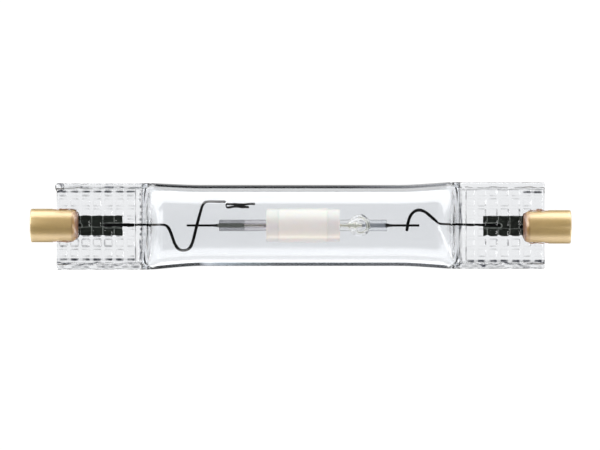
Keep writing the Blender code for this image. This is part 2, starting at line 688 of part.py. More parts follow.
def build_left_lead(carrier, molybdenum):
    """From the left foil along the axis, down, up past the weld and along under the top of the glass."""
    weld = weld_x(LEFT)
    corners = [
        (-(foil_inner_x("left") + INNER_LEAD_LAP), 0, 0),
        (weld - DIP_START, 0, 0),
        (weld - DIP_NEAR, DIP_NEAR_TO_GLASS - BORE_RADIUS, LEAD_Z_AT_WELD),
        (weld - DIP_FAR, DIP_FAR_TO_GLASS - BORE_RADIUS, LEAD_Z_AT_WELD),
        (weld + RISE_RUN, BORE_RADIUS - RISE_TO_GLASS, LEAD_Z_AT_WELD),
        (weld + GETTER_ARM, BORE_RADIUS - RISE_TO_GLASS, LEAD_Z_AT_WELD),
    ]
    path = rounded_path(corners, [DIP_START_BEND, DIP_BEND, DIP_BEND, RISE_BEND])
    wire("left_inner_lead", path, LEAD_RADIUS, molybdenum, carrier)


def build_right_lead(carrier, molybdenum):
    """From the right foil along the axis, up a slope and over in a hook that passes the weld."""
    centre = Vector((weld_x(RIGHT) + HOOK_RADIUS, HOOK_CENTRE_RISE, LEAD_Z_AT_WELD))
    slope_top = centre + HOOK_RADIUS * Vector((math.sin(HOOK_SLOPE), math.cos(HOOK_SLOPE), 0))
    foot_x = slope_top.x + slope_top.y / math.tan(HOOK_SLOPE)
    corners = [(foil_inner_x("right") + INNER_LEAD_LAP, 0, 0), (foot_x, 0, 0), slope_top]
    path = rounded_path(corners, [HOOK_FOOT_BEND])
    first = math.pi / 2 - HOOK_SLOPE
    last = math.pi
    steps = round((last - first) / BEND_STEP)
    for step in range(1, steps + 1):
        angle = first + (last - first) * step / steps
        path.append(centre + HOOK_RADIUS * Vector((math.cos(angle), math.sin(angle), 0)))
    path.append(path[-1] - HOOK_TAIL * Vector((math.sin(HOOK_TAIL_LEAN), math.cos(HOOK_TAIL_LEAN), 0)))
    wire("right_inner_lead", path, LEAD_RADIUS, molybdenum, carrier)


def build_getter(carrier, getter_metal):
    """A strip folded to a V and welded under the free end of the left lead, with its edge to the front."""
    fold_radius = GETTER_FOLD_HEIGHT / 2
    fold_x = weld_x(LEFT) + GETTER_ARM - GETTER_WELD_OVERLAP + fold_radius
    arm_y = BORE_RADIUS - RISE_TO_GLASS
    fold_y = arm_y - LEAD_RADIUS - WELD_GAP - GETTER_THICKNESS / 2 - fold_radius
    waist_x = fold_x + (GETTER_LOWER_LENGTH - fold_radius) / 2
    strip_start = fold_x - fold_radius
    angles = [math.pi / 2 + math.pi * step / FOLD_STEPS for step in range(FOLD_STEPS + 1)]
    path = [(strip_start + GETTER_UPPER_LENGTH, fold_y + fold_radius), (waist_x, fold_y + GETTER_PINCH_IN)]
    path += [
        (fold_x + fold_radius * math.cos(angle), fold_y + fold_radius * math.sin(angle)) for angle in angles
    ]
    path += [(waist_x, fold_y - GETTER_PINCH_IN), (strip_start + GETTER_LOWER_LENGTH, fold_y - fold_radius)]
    shape = bmesh.new()
    back = [shape.verts.new((x, y, LEAD_Z_AT_WELD - GETTER_WIDTH / 2)) for x, y in path]
    front = [shape.verts.new((x, y, LEAD_Z_AT_WELD + GETTER_WIDTH / 2)) for x, y in path]
    for step in range(len(path) - 1):
        shape.faces.new((back[step], back[step + 1], front[step + 1], front[step]))
    getter = add_piece("getter", mesh_from(shape, "getter"), getter_metal, carrier)
    solidify = getter.modifiers.new("thickness", "SOLIDIFY")
    solidify.thickness = GETTER_THICKNESS
    solidify.offset = 0
    solidify.use_even_offset = True


def main():
    clear_scene()
    lamp = new_collection(LAMP_COLLECTION)
    new_collection(CUTTER_COLLECTION)
    carrier = add_axis("lamp_axis", lamp, (0, 0, AXIS_HEIGHT), None)
    cap_axes = {
        name: add_axis(f"{name}_cap_axis", lamp, (0, CAP_SHIFT[name], 0), carrier) for name in SIDES
    }

    glass = finish("fused_quartz", (0.92, 0.95, 0.96), 0.02, transmission=0.95)
    ceramic = finish("steatite", (0.72, 0.55, 0.30), 0.35)
    cement = finish("cement", (0.45, 0.24, 0.14), 0.9)
    nickel = finish("nickel_plate", (0.72, 0.70, 0.66), 0.3, metallic=1.0)
    alumina = finish("sintered_alumina", (0.93, 0.90, 0.86), 0.45)
    salts = finish("halide_salts", (0.75, 0.60, 0.25), 0.5)
    getter_metal = finish("getter_alloy", (0.40, 0.40, 0.40), 0.6, metallic=0.8)
    finishes = {
        "molybdenum": finish("molybdenum", (0.08, 0.08, 0.08), 0.35, metallic=0.9),
        "niobium": finish("niobium", (0.06, 0.06, 0.07), 0.4, metallic=0.9),
        "frit": finish("sealing_frit", (0.10, 0.10, 0.10), 0.3),
        "tungsten": finish("tungsten", (0.30, 0.30, 0.31), 0.35, metallic=1.0),
    }

    build_envelope(carrier, cap_axes, glass)
    build_arc_tube(carrier, alumina)
    build_dose(carrier, salts)
    for name, side in SIDES.items():
        build_cap(name, side, cap_axes[name], ceramic)
        build_contact(name, side, cap_axes[name], nickel)
        build_cement(name, side, cap_axes[name], cement)
        build_outer_lead(name, side, cap_axes[name], finishes["molybdenum"])
        build_foil(name, side, carrier, finishes["molybdenum"])
        build_feedthrough(name, side, carrier, finishes)
    build_left_lead(carrier, finishes["molybdenum"])
    build_right_lead(carrier, finishes["molybdenum"])
    build_getter(carrier, getter_metal)


main()
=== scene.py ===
"""Looks of a double-ended metal halide lamp that lies on a pale floor, seen from above.

Every piece is a surface worked out with numpy, on a grid of two parameters or as a section carried along
a path, and stands for one solid of the frame. Lengths are in metres, in the frame's axes: X runs along
the lamp, the pinches are flat in XY, and the lamp rests on Z = 0.
"""

import math

import bpy
import numpy as np
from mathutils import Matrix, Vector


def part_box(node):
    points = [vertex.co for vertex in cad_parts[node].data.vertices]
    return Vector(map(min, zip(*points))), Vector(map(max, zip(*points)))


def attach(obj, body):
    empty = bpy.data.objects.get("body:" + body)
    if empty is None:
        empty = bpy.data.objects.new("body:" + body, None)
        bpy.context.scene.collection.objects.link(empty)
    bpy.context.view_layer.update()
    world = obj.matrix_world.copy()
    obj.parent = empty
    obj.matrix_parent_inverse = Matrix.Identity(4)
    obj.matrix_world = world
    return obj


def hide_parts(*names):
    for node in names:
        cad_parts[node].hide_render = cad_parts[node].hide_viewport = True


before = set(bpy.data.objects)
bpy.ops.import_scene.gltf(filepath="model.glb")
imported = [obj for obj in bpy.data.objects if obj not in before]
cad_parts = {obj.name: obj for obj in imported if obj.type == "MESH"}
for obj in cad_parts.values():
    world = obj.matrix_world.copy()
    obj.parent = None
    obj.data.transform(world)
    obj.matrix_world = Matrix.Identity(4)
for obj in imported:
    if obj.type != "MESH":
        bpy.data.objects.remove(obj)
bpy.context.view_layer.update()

MM = 0.001
SIDES = {"left": -1, "right": 1}


def ends(node, side):
    """Where a solid ends along the lamp: the end towards the middle of the lamp, then the outer one."""
    low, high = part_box(node)
    return (high.x, low.x) if side < 0 else (low.x, high.x)


def middle_and_half(node):
    """The middle of a solid's box, and half its size."""
    low, high = (np.array(corner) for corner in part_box(node))
    return (low + high) / 2, (high - low) / 2


# The lamp's axis, the ends of the glass, the arc tube's body and the depth of the welds, from the frame
(_, AXIS_Y, AXIS_Z), _ = middle_and_half("left_capillary")
PINCH_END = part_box("quartz_envelope")[1].x
(BODY_X, _, _), (BODY_HALF, _, BODY_RADIUS) = middle_and_half("arc_tube_body")
LEAD_RADIUS = 0.33 * MM
WELD_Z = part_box("right_inner_lead")[0].z + LEAD_RADIUS

# Envelope: tube, shoulders and pinches
TUBE_RADIUS = AXIS_Z
TUBE_WALL = 1.2 * MM
PINCH_LENGTH = 18.5 * MM
PINCH_START = PINCH_END - PINCH_LENGTH
SHOULDER_LENGTH = 5.5 * MM
SHOULDER_FOOT = 0.5 * MM
SHOULDER_START = PINCH_START - SHOULDER_LENGTH
FLARE_START = PINCH_START - 13.2 * MM
PINCH_HALF_WIDTH = 9.45 * MM
LEFT_PINCH_SHIFT = -0.2 * MM
EDGE_ROUND = 0.4 * MM
WEB_HALF = 1.1 * MM
RAIL_HALF = 1.6 * MM
RAIL_INNER_EDGE = 8.25 * MM
RAIL_SLOPE = 0.5 * MM
RAIL_WANDER = 0.1 * MM
RIDGE_PLACE = PINCH_START + 0.8 * MM
RIDGE_WIDTH = 1.2 * MM
RIDGE_HEIGHT = 0.2 * MM
NOTCH_PLACE = PINCH_START + 0.1 * MM
NOTCH_WIDTH = 0.6 * MM
NOTCH_DEPTH = 0.15 * MM
TOOTH_PITCH = 1.25 * MM
CAVITY_END_HALF = 0.25 * MM

# Waffle of the pinching jaws: rounded pads, steeper across the lamp than along it
PAD_COLUMNS = 7
PAD_ROWS = 7
PAD_PITCH_ALONG = 2.46 * MM
PAD_PITCH_ACROSS = 2.2 * MM
PAD_ROWS_MIDDLE = 0.65 * MM
PAD_MIDDLE = (PINCH_START + 1.0 * MM + PINCH_END) / 2
PAD_LENGTH = 1.6 * MM
PAD_BREADTH = 1.45 * MM
PAD_SLOPE_STEEP = 0.34 * MM
PAD_SLOPE_SOFT = 0.6 * MM
PAD_HEIGHT = 0.09 * MM

# Sealed exhaust stub, hollow nearly to its top, and the bead of glass on one corner
TIP_X = 12.5 * MM
TIP_RADIUS = 2.3 * MM
TIP_HEIGHT = 1.45 * MM
TIP_HOLLOW_RADIUS = 1.85 * MM
TIP_HOLLOW_HEIGHT = 1.2 * MM
TIP_SURROUND = 1.3 * TIP_RADIUS
TIP_STEEP = 1.3
TIP_STEEPER = 3.0
BEAD_X = -PINCH_END + 0.35 * MM
BEAD_Y = PINCH_HALF_WIDTH + LEFT_PINCH_SHIFT - 0.95 * MM
BEAD_RADIUS = 0.95 * MM
BEAD_RISE = 0.35 * MM
BEAD_OVERHANG = 0.3 * MM
END_NARROWING = 0.15 * MM
END_THINNING = 0.3 * MM

# Caps and cement
CAP_BORE = 1.7 * MM
CAP_MOUTH_ROUND = 1.4 * MM
CEMENT_PAD = 0.7 * MM
CEMENT_SLEEVE = 1.6 * MM
CEMENT_BORE = 1.04 * MM
CEMENT_HOLE = 0.33 * MM
SEAT_DEPTH = 1.1 * MM
CLEARANCE = 0.1 * MM
SLOT_GAP = 0.9 * MM

# Foils, arc tube and getter
OUTER_LEAD_LAP = 2.5 * MM
INNER_LEAD_LAP = 3.9 * MM
CREASE_WIDTH = 0.09 * MM
HALO_REACH = 0.52 * MM
FOIL_LIFT = 0.05 * MM
CAPILLARY_BORE = 0.5 * MM
PLUG_BORE = 1.28 * MM
FRIT_BORE = 0.255 * MM
FRIT_RADIUS = 0.47 * MM
COIL_TURNS = 5
WINDING_PITCH = 0.16 * MM
PLUG_FACE = BODY_HALF - 2.7 * MM
GETTER_LENGTH = 5.1 * MM
GETTER_THICKNESS = 0.18 * MM
GETTER_FOLD = 0.425 * MM
GETTER_LEAN = math.radians(6.5)

# The leads from above, in mm, and over which stretch they sink from the axis to the welds
LEAD_BENDS = {
    "left": [
        (-43.0, 0.12), (-38.0, 0.14), (-33.0, 0.15), (-30.2, 0.14), (-29.35, -0.02), (-28.75, -0.62),
        (-28.2, -1.90), (-27.55, -3.75), (-27.0, -4.75), (-26.4, -5.25), (-25.6, -5.45), (-24.75, -5.28),
        (-24.0, -4.62), (-23.5, -3.40), (-23.0, -1.40), (-22.4, 1.0), (-21.8, 3.2), (-21.4, 4.40),
        (-20.95, 5.03), (-20.2, 5.28), (-18.3, 5.28), (-16.3, 5.24),
    ],
    "right": [
        (36.0, 0.20), (33.0, 0.26), (31.0, 0.34), (30.1, 0.55), (29.3, 1.12), (28.1, 2.18), (27.4, 2.76),
        (26.65, 3.20), (25.8, 3.38), (25.0, 3.20), (24.35, 2.70), (23.85, 1.95), (23.5, 1.0), (23.3, 0.0),
        (23.12, -1.30),
    ],
}
LEAD_SINKS = {"left": (31.0 * MM, 25.0 * MM), "right": (31.0 * MM, 26.5 * MM)}

# Fineness: points across a pinch, rings along the lamp, points round the bore
ACROSS_POINTS = 112
EDGE_POINTS = 6
PINCH_RINGS = 108
SHOULDER_RINGS = 34
TIP_RINGS = 30
BORE_RINGS = 64
BORE_POINTS = 58


# Shapes

def smooth(share):
    """Rises from 0 to 1 with level ends: 3 s^2 - 2 s^3 of the share, held between 0 and 1."""
    share = np.clip(share, 0.0, 1.0)
    return share * share * (3 - 2 * share)


def hill(distance, width):
    """e^-(distance / width)^2."""
    return np.exp(-(distance / width) ** 2)


def as_points(x, y, z):
    """Points with these coordinates, which are first spread to one shape."""
    return np.stack(np.broadcast_arrays(x, y, z), axis=-1)


def unit(vectors):
    """The same directions with a length of 1."""
    return vectors / np.linalg.norm(vectors, axis=-1, keepdims=True)


def round_angles(count):
    """Even angles once round."""
    return np.linspace(0, 2 * np.pi, count, endpoint=False)


def crowded(low, high, count, edges, reach, gain):
    """Places from low to high, closer together near the edges.

    They are even steps of the running sum of a density, 1 + gain e^-(distance to each edge / reach)^2.
    """
    fine = np.linspace(low, high, 4000)
    density = 1 + gain * hill(fine[:, None] - np.asarray(edges)[None, :], reach).sum(axis=1)
    total = np.concatenate([[0], np.cumsum((density[1:] + density[:-1]) / 2)])
    return np.interp(np.linspace(0, total[-1], count), total, fine)


def quads(rows, columns, wrap_rows=False):
    """The faces of a grid of points whose columns close on themselves, as four indices each."""
    row = np.arange(rows if wrap_rows else rows - 1)[:, None]
    column = np.arange(columns)[None, :]
    beside = (column + 1) % columns
    below = (row + 1) % rows
    corners = [(row, column), (row, beside), (below, beside), (below, column)]
    return np.stack([row * columns + column for row, column in corners], axis=-1).reshape(-1, 4)


def volume(points, faces):
    """The volume inside closed faces: the sum of the pyramids from the origin to each, signed by its turn."""
    first, second, third = (points[faces[:, corner]] for corner in range(3))
    total = np.einsum("ij,ij->i", first, np.cross(second, third)).sum()
    if faces.shape[1] == 4:
        total += np.einsum("ij,ij->i", first, np.cross(third, points[faces[:, 3]])).sum()
    return total / 6


def shell(rings, hollow=False, wrap_rows=False):
    """Turns rings of points into a closed shell, with a fan over each end unless the rows close too.

    The faces point outwards, or inwards round a hollow in a thicker piece.
    """
    rows, columns = rings.shape[:2]
    points = rings.reshape(-1, 3)
    sides = quads(rows, columns, wrap_rows)
    fans = np.empty((0, 3), int)
    if not wrap_rows:
        centres = np.stack([rings[0].mean(axis=0), rings[-1].mean(axis=0)])
        near = np.arange(columns)
        beside = (near + 1) % columns
        last = (rows - 1) * columns
        first_fan = np.stack([np.full(columns, rows * columns), beside, near], axis=-1)
        last_fan = np.stack([np.full(columns, rows * columns + 1), near + last, beside + last], axis=-1)
        points = np.concatenate([points, centres])
        fans = np.concatenate([first_fan, last_fan])
    inside = volume(points, sides) + volume(points, fans)
    if (inside < 0) != hollow:
        sides = sides[:, ::-1]
        fans = fans[:, ::-1]
    return points, sides, fans


def mesh_object(name, points, faces):
    """A new object in the scene, with a mesh of these points and faces."""
    mesh = bpy.data.meshes.new(name)
    mesh.from_pydata(points, [], faces)
    made = bpy.data.objects.new(name, mesh)
    bpy.context.scene.collection.objects.link(made)
    return made


def add_piece(name, shells, materials, slot, *nodes, sharp=35):
    """Makes one piece of several shells, which rides on the lamp and stands for the named solids."""
    points = []
    faces = []
    finishes = []
    count = 0
    for number, (shell_points, sides, fans) in enumerate(shells):
        points.append(shell_points)
        faces += (sides + count).tolist() + (fans + count).tolist()
        finishes += [min(number, len(materials) - 1)] * (len(sides) + len(fans))
        count += len(shell_points)
    piece = mesh_object(name, np.concatenate(points).tolist(), faces)
    mesh = piece.data
    for material in materials:
        mesh.materials.append(material)
    mesh.polygons.foreach_set("material_index", finishes)
    mesh.shade_smooth()
    mesh.set_sharp_from_angle(angle=math.radians(sharp))
    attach(piece, "root")
    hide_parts(*nodes)
    return piece


def rounded(corners, cuts, steps=5, closed=False):
    """Rounds the corners of a line: each is cut off at a distance and joined by a parabola's arc.

    The arc through the cut points A and C with the corner P is (1-t)^2 A + 2t(1-t) P + t^2 C.
    """
    corners = np.asarray(corners, float)
    inner = corners if closed else corners[1:-1]
    before = np.roll(corners, 1, axis=0) if closed else corners[:-2]
    after = np.roll(corners, -1, axis=0) if closed else corners[2:]
    cuts = np.broadcast_to(cuts, len(inner))[:, None]
    start = inner + unit(before - inner) * cuts
    end = inner + unit(after - inner) * cuts
    t = np.linspace(0, 1, steps + 1)[None, :, None]
    arcs = (1 - t) ** 2 * start[:, None] + 2 * t * (1 - t) * inner[:, None] + t ** 2 * end[:, None]
    arcs = arcs.reshape(-1, corners.shape[1])
    return arcs if closed else np.concatenate([corners[:1], arcs, corners[-1:]])


def turned(profile, points=64, centre_y=AXIS_Y):
    """Carries a profile of (x, radius) round the lamp's axis: rings at (x, r cos a, r sin a)."""
    profile = np.asarray(profile, float)
    angle = round_angles(points)[None, :]
    radius = profile[:, 1:]
    return as_points(profile[:, :1], radius * np.cos(angle) + centre_y, radius * np.sin(angle) + AXIS_Z)


def tube_shell(node, bore, cut):
    """A tube that fills a solid's box along the axis, with its four edges rounded."""
    low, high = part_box(node)
    radius = high.z - AXIS_Z
    corners = [(low.x, bore), (low.x, radius), (high.x, radius), (high.x, bore)]
    return shell(turned(rounded(corners, cut, closed=True)), wrap_rows=True)


def swept(path, radius, points=20, reference=(0, 0, 1)):
    """Carries a circle along a path: path + r (side cos a + lift sin a), both square to the path."""
    path = np.asarray(path, float)
    along = unit(np.gradient(path, axis=0))
    side = unit(np.cross(along, np.asarray(reference, float)))
    lift = np.cross(side, along)
    angle = round_angles(points)[None, :, None]
    radius = np.broadcast_to(radius, len(path))[:, None, None]
    return path[:, None] + radius * (side[:, None] * np.cos(angle) + lift[:, None] * np.sin(angle))


def refined(path, step):
    """The same line with points at even distances."""
    length = np.concatenate([[0], np.cumsum(np.linalg.norm(np.diff(path, axis=0), axis=1))])
    places = np.linspace(0, length[-1], int(length[-1] / step) + 2)
    return np.stack([np.interp(places, length, column) for column in path.T], axis=-1)


def wire_shell(path, radius_at):
    """A drawn wire whose radius depends on x, with ends rounded off as a quarter circle over one radius."""
    path = refined(path, 0.25 * MM)
    radii = radius_at(path[:, 0])
    turn = np.linspace(0.2, np.pi / 2, 5)
    first = path[0] + np.outer((1 - np.cos(turn)) * radii[0], unit(path[1] - path[0]))
    last = path[-1] + np.outer((1 - np.cos(turn)) * radii[-1], unit(path[-2] - path[-1]))
    whole = np.concatenate([first, path[5:-5], last[::-1]])
    radii = np.concatenate([radii[0] * np.sin(turn), radii[5:-5], radii[-1] * np.sin(turn)[::-1]])
    return shell(swept(whole, radii))


def through(points, steps=8):
    """A smooth line through points: a cubic between each two, whose slopes come from the two beside them.

    At each point the slope is half the way from the point before it to the point after it.
    """
    points = np.asarray(points, float)
    padded = np.concatenate([2 * points[:1] - points[1:2], points, 2 * points[-1:] - points[-2:-1]])
    before, start, end, after = (padded[first:len(padded) - 3 + first, None] for first in range(4))
    t = np.linspace(0, 1, steps, endpoint=False)[None, :, None]
    curve = 0.5 * (
        2 * start + (end - before) * t + (2 * before - 5 * start + 4 * end - after) * t ** 2
        + (3 * start - before - 3 * end + after) * t ** 3
    )
    return np.concatenate([curve.reshape(-1, points.shape[1]), points[-1:]])


# Shape of the glass

def from_pad(x, y):
    """Distances along and across the lamp from the middle of the nearest pad of the waffle."""
    column = (np.abs(x) - PAD_MIDDLE) / PAD_PITCH_ALONG
    row = (y - PAD_ROWS_MIDDLE) / PAD_PITCH_ACROSS
    most_column = (PAD_COLUMNS - 1) / 2
    most_row = (PAD_ROWS - 1) / 2
    from_column = (column - np.clip(np.round(column), -most_column, most_column)) * PAD_PITCH_ALONG
    from_row = (row - np.clip(np.round(row), -most_row, most_row)) * PAD_PITCH_ACROSS
    return from_column, from_row


def pad_edges(middle, count, pitch, size):
    """Where the pads of one row or column begin and end."""
    middles = [middle + (pad - (count - 1) / 2) * pitch for pad in range(count)]
    return [place + end * size / 2 for place in middles for end in (-1, 1)]


def pad_relief(x, y):
    """Height of the waffle: pads that rise over soft slopes along the lamp and steep ones across it.

    Each pad is the product of two smooth steps, one of the distance inside its length and one of the
    distance inside its breadth, and its height wavers over the pinch.
    """
    from_column, from_row = from_pad(x, y)
    along = smooth(0.5 - (np.abs(from_column) - PAD_LENGTH / 2) / PAD_SLOPE_SOFT)
    across = smooth(0.5 - (np.abs(from_row) - PAD_BREADTH / 2) / PAD_SLOPE_STEEP)
    uneven = 1 + 0.45 * np.sin(np.abs(x) / MM * 1.9 + 0.7) * np.sin(y / MM * 1.3 + 0.4)
    return PAD_HEIGHT * along * across * uneven


def notch_relief(x, y):
    """Depth of the groove beside the shoulder, bitten by the jaws' teeth, and less so towards one edge."""
    from_notch = (np.abs(x) - NOTCH_PLACE) / (NOTCH_WIDTH / 2)
    toothed = 0.5 + 0.5 * np.sin(2 * np.pi * y / TOOTH_PITCH + 1.6 * np.sin(y / MM * 0.8 + np.sign(x)))
    share = smooth((y + 4.5 * MM) / (2.0 * MM))
    return NOTCH_DEPTH * (1 - 0.75 * share * toothed) * smooth(1 - np.abs(from_notch))


def plate_height(x, y, relief=True):
    """Half the thickness of a pinch: a web, a rail up each edge, a ridge, a toothed groove and the pads."""
    wander = RAIL_WANDER * np.sin(x / MM * 0.9 + np.sign(y) * 1.3) + 0.05 * MM * np.sin(x / MM * 2.3)
    rail = smooth((np.abs(y) - RAIL_INNER_EDGE - wander) / RAIL_SLOPE + 0.5)
    web = WEB_HALF
    if relief:
        ridge = smooth(1 - np.abs(np.abs(x) - RIDGE_PLACE) / (RIDGE_WIDTH / 2))
        swell = 0.03 * MM * np.sin(x / MM * 0.75 + 0.3) * np.sin(y / MM * 0.62 + 1.1)
        web = web + RIDGE_HEIGHT * ridge + swell + pad_relief(x, y) - notch_relief(x, y)
    return web + (RAIL_HALF - web) * rail


def across_line():
    """From one edge of a pinch over its upper face to the other: place, lift at the edge, tube angle.

    The places crowd where the pads and rails slope, and the angle goes round the tube in step with the
    length of the line.
    """
    turn = np.linspace(0, np.pi / 2, EDGE_POINTS, endpoint=False)
    flat_half = PINCH_HALF_WIDTH - EDGE_ROUND
    edges = pad_edges(PAD_ROWS_MIDDLE, PAD_ROWS, PAD_PITCH_ACROSS, PAD_BREADTH)
    edges += [RAIL_INNER_EDGE, -RAIL_INNER_EDGE]
    flat = crowded(-flat_half, flat_half, ACROSS_POINTS, edges, 0.2 * MM, 2.0)[::-1]
    edge = flat_half + EDGE_ROUND * np.cos(turn)
    place = np.concatenate([edge, flat, -edge[::-1]])
    lift = np.concatenate([np.sin(turn), np.ones(ACROSS_POINTS), np.sin(turn[::-1])])
    steps = np.hypot(np.diff(place), np.diff(lift) * EDGE_ROUND)
    length = np.concatenate([[0], np.cumsum(steps)])
    return place, lift, length / length[-1] * np.pi


def dome(x):
    """How far the shoulder has flattened at each x, from 0 to 1: a quarter ellipse, 1 - sqrt(1 - s^2).

    It is the mean over a short stretch to either side, so that the dome's foot runs into the pinch.
    """
    total = 0
    steps = np.linspace(-1, 1, 9) * SHOULDER_FOOT
    for step in steps:
        share = np.clip((np.abs(x) + step - SHOULDER_START) / (SHOULDER_LENGTH - SHOULDER_FOOT), 0, 1)
        total = total + 1 - np.sqrt(1 - share ** 2)
    return total / len(steps)


def glass_half(x, line, relief=True):
    """The upper half of the outside at each x: a circle blended with the pinch's section.

    y goes from R cos a to the plate's own y, and z from R sin a to the plate's height, both by how far
    the shoulder has flattened.
    """
    place, lift, angle = (values[None, :] for values in line)
    widening = smooth((np.abs(x) - FLARE_START) / (PINCH_START - FLARE_START))
    flattening = dome(x)
    tube_y = (TUBE_RADIUS + (PINCH_HALF_WIDTH - TUBE_RADIUS) * widening) * np.cos(angle)
    y = tube_y + (place - tube_y) * flattening
    z = TUBE_RADIUS * np.sin(angle)
    z = z + (lift * plate_height(x, place, relief) - z) * flattening
    return y + LEFT_PINCH_SHIFT * widening * (x < 0), z


def both_faces(x, y, z):
    """Closes an upper half into rings: the same points with z turned over, back to the first edge."""
    upper = as_points(x, y, z)
    lower = upper[:, -2:0:-1] * np.array([1, 1, -1])
    return np.concatenate([upper, lower], axis=1)


def along_lamp(half, steps):
    """Places along the lamp: one half and its mirror image, with steps between and more round the stub."""
    middle = np.linspace(-TIP_X, TIP_X - TIP_SURROUND, steps, endpoint=False)
    stub = np.linspace(TIP_X - TIP_SURROUND, TIP_X + TIP_SURROUND, TIP_RINGS, endpoint=False)
    return np.concatenate([-half[::-1], middle, stub, half])[:, None]


def from_bead(x, y):
    """Distance from the bead of glass on the corner, as a share of its radius."""
    return np.hypot(x - BEAD_X, y - BEAD_Y) / BEAD_RADIUS


def bell(x, y, radius):
    """A flat-topped bell round the exhaust tip: 1 - smooth(d^k), d the distance as a share of the radius.

    k is largest, and the bell so steepest, on the side of the right end.
    """
    away = np.hypot(x - TIP_X, y) / radius
    facing = np.arctan2(y, x - TIP_X)
    steep = TIP_STEEP + TIP_STEEPER * smooth(0.5 + 0.5 * np.cos(facing))
    return 1 - smooth(np.clip(away, 0, 1) ** steep)


def outer_rings():
    """The outside of the glass: both faces of the section along the lamp, with end, bead and stub."""
    edges = pad_edges(PAD_MIDDLE, PAD_COLUMNS, PAD_PITCH_ALONG, PAD_LENGTH)
    edges += [NOTCH_PLACE, RIDGE_PLACE - 0.3 * MM, RIDGE_PLACE + 0.3 * MM, PINCH_END - 0.1 * MM]
    pinch_from = PINCH_START - 0.3 * MM
    half = np.concatenate([
        np.linspace(TIP_X + TIP_SURROUND, FLARE_START, 4, endpoint=False),
        crowded(FLARE_START, pinch_from, SHOULDER_RINGS, [PINCH_START - 1.6 * MM], 2.5 * MM, 2.0)[:-1],
        crowded(pinch_from, PINCH_END, PINCH_RINGS, edges, 0.2 * MM, 2.0),
    ])
    x = along_lamp(half, 6)
    x, y, z = np.moveaxis(both_faces(x, *glass_half(x, across_line())), -1, 0)

    end = smooth((np.abs(x) - PINCH_END + EDGE_ROUND) / EDGE_ROUND) ** 2
    y = y - np.sign(y) * END_NARROWING * end
    z = z - np.sign(z) * END_THINNING * end

    bead = np.sqrt(np.clip(1 - from_bead(x, y) ** 2, 0, 1))
    z = z + np.sign(z) * BEAD_RISE * bead
    x = x - BEAD_OVERHANG * bead * (np.abs(x) > PINCH_END - BEAD_OVERHANG)
    z = z + np.where(z > 0, TIP_HEIGHT * bell(x, y, TIP_RADIUS), 0)
    rings = as_points(x, y, z)
    ends_x = np.array([[[-PINCH_END, 0, 0]], [[PINCH_END, 0, 0]]])
    inner = rings[[0, -1]] * np.array([0, 0.985, 0.85]) + ends_x
    return np.concatenate([inner[:1], rings, inner[1:]]) + np.array([0, AXIS_Y, AXIS_Z])


def bore_rings():
    """The inside of the glass: the outside moved in by the wall, along its normals, until it closes.

    Each upper half is cut where it would sink below the lamp's mid plane and spread out again between
    the cuts, so that it meets its mirror image in an edge. A hollow rises into the exhaust stub.
    """
    half = crowded(TIP_X + TIP_SURROUND, PINCH_START, BORE_RINGS, [PINCH_START - 1.8 * MM], 2.5 * MM, 3.0)
    x = along_lamp(half, 8)
    outside = as_points(x, *glass_half(x, across_line(), relief=False))
    normal = unit(np.cross(np.gradient(outside, axis=0), np.gradient(outside, axis=1)))
    rows, columns = outside.shape[:2]
    inside = outside - TUBE_WALL * normal * np.sign(normal[rows // 2, columns // 2, 2])

    column = np.arange(columns, dtype=float)
    share = crowded(0, 1, BORE_POINTS, [0.5], 0.12, 2.5)
    rings = []
    for row in inside:
        open_part = np.flatnonzero(row[:, 2] > 0)
        if len(open_part) == 0 or row[:, 2].max() < CAVITY_END_HALF:
            continue
        first, last = open_part[0], open_part[-1]
        low = first - row[first, 2] / (row[first, 2] - row[first - 1, 2]) if first > 0 else 0.0
        high = last + row[last, 2] / (row[last, 2] - row[last + 1, 2]) if last < columns - 1 else column[-1]
        places = low + (high - low) * share
        ring = np.stack([np.interp(places, column, values) for values in row.T], axis=-1)
        ring[[0, -1], 2] = 0
        rings.append(ring)
    x, y, z = np.moveaxis(both_faces(*np.moveaxis(np.array(rings), -1, 0)), -1, 0)
    z = z + np.where(z > 0, TIP_HOLLOW_HEIGHT * bell(x, y, TIP_HOLLOW_RADIUS), 0)
    return as_points(x, y + AXIS_Y, z + AXIS_Z)


# Painted shade: dark lines where the jaws cut the glass sharply, in mm, with left true in the left pinch
LINE = 0.11
PAD_HALF_LENGTH = PAD_LENGTH / 2 / MM
PAD_HALF_BREADTH = PAD_BREADTH / 2 / MM
RIDGE = RIDGE_PLACE / MM
GROOVE = NOTCH_PLACE / MM
SHOULDER_END = PINCH_START / MM


def within(distance, half):
    """1 within half the size of a pad and 0 beyond it, over a soft edge."""
    return smooth((half + 0.1 - np.abs(distance)) / 0.3)


def painted_pad_shade(left, out, y, from_column, from_row, luck):
    """Painted shade on the pads' edges: those along the lamp by luck, and all of them near the foil."""
    near_foil = smooth((np.where(left, 5.6, 5.0) - np.abs(y)) / 1.2)
    below = smooth(-y - 1.0) * near_foil
    amid = smooth((7.0 - np.abs(out - np.where(left, 46.5, 44.5))) / 2.0)
    cut_across = np.where(left, 0.03 + 0.38 * luck ** 2 + 0.35 * below * amid, 0.03 + 0.28 * luck ** 2 * amid)
    across = hill(np.abs(from_row) - PAD_HALF_BREADTH, LINE) * within(from_column, PAD_HALF_LENGTH)
    across = across * cut_across
    cut_along = np.where(left, 0.06 + 0.45 * below * amid, 0.06 + 0.75 * near_foil * amid * (from_column > 0))
    along = hill(np.abs(from_column) - PAD_HALF_LENGTH, LINE) * within(from_row, PAD_HALF_BREADTH) * cut_along
    along = along * (0.4 + 0.6 * luck)
    in_waffle = smooth((7.2 - np.abs(y)) / 0.3) * smooth((out - RIDGE - 0.8) / 0.3)
    return np.maximum(across, along) * in_waffle


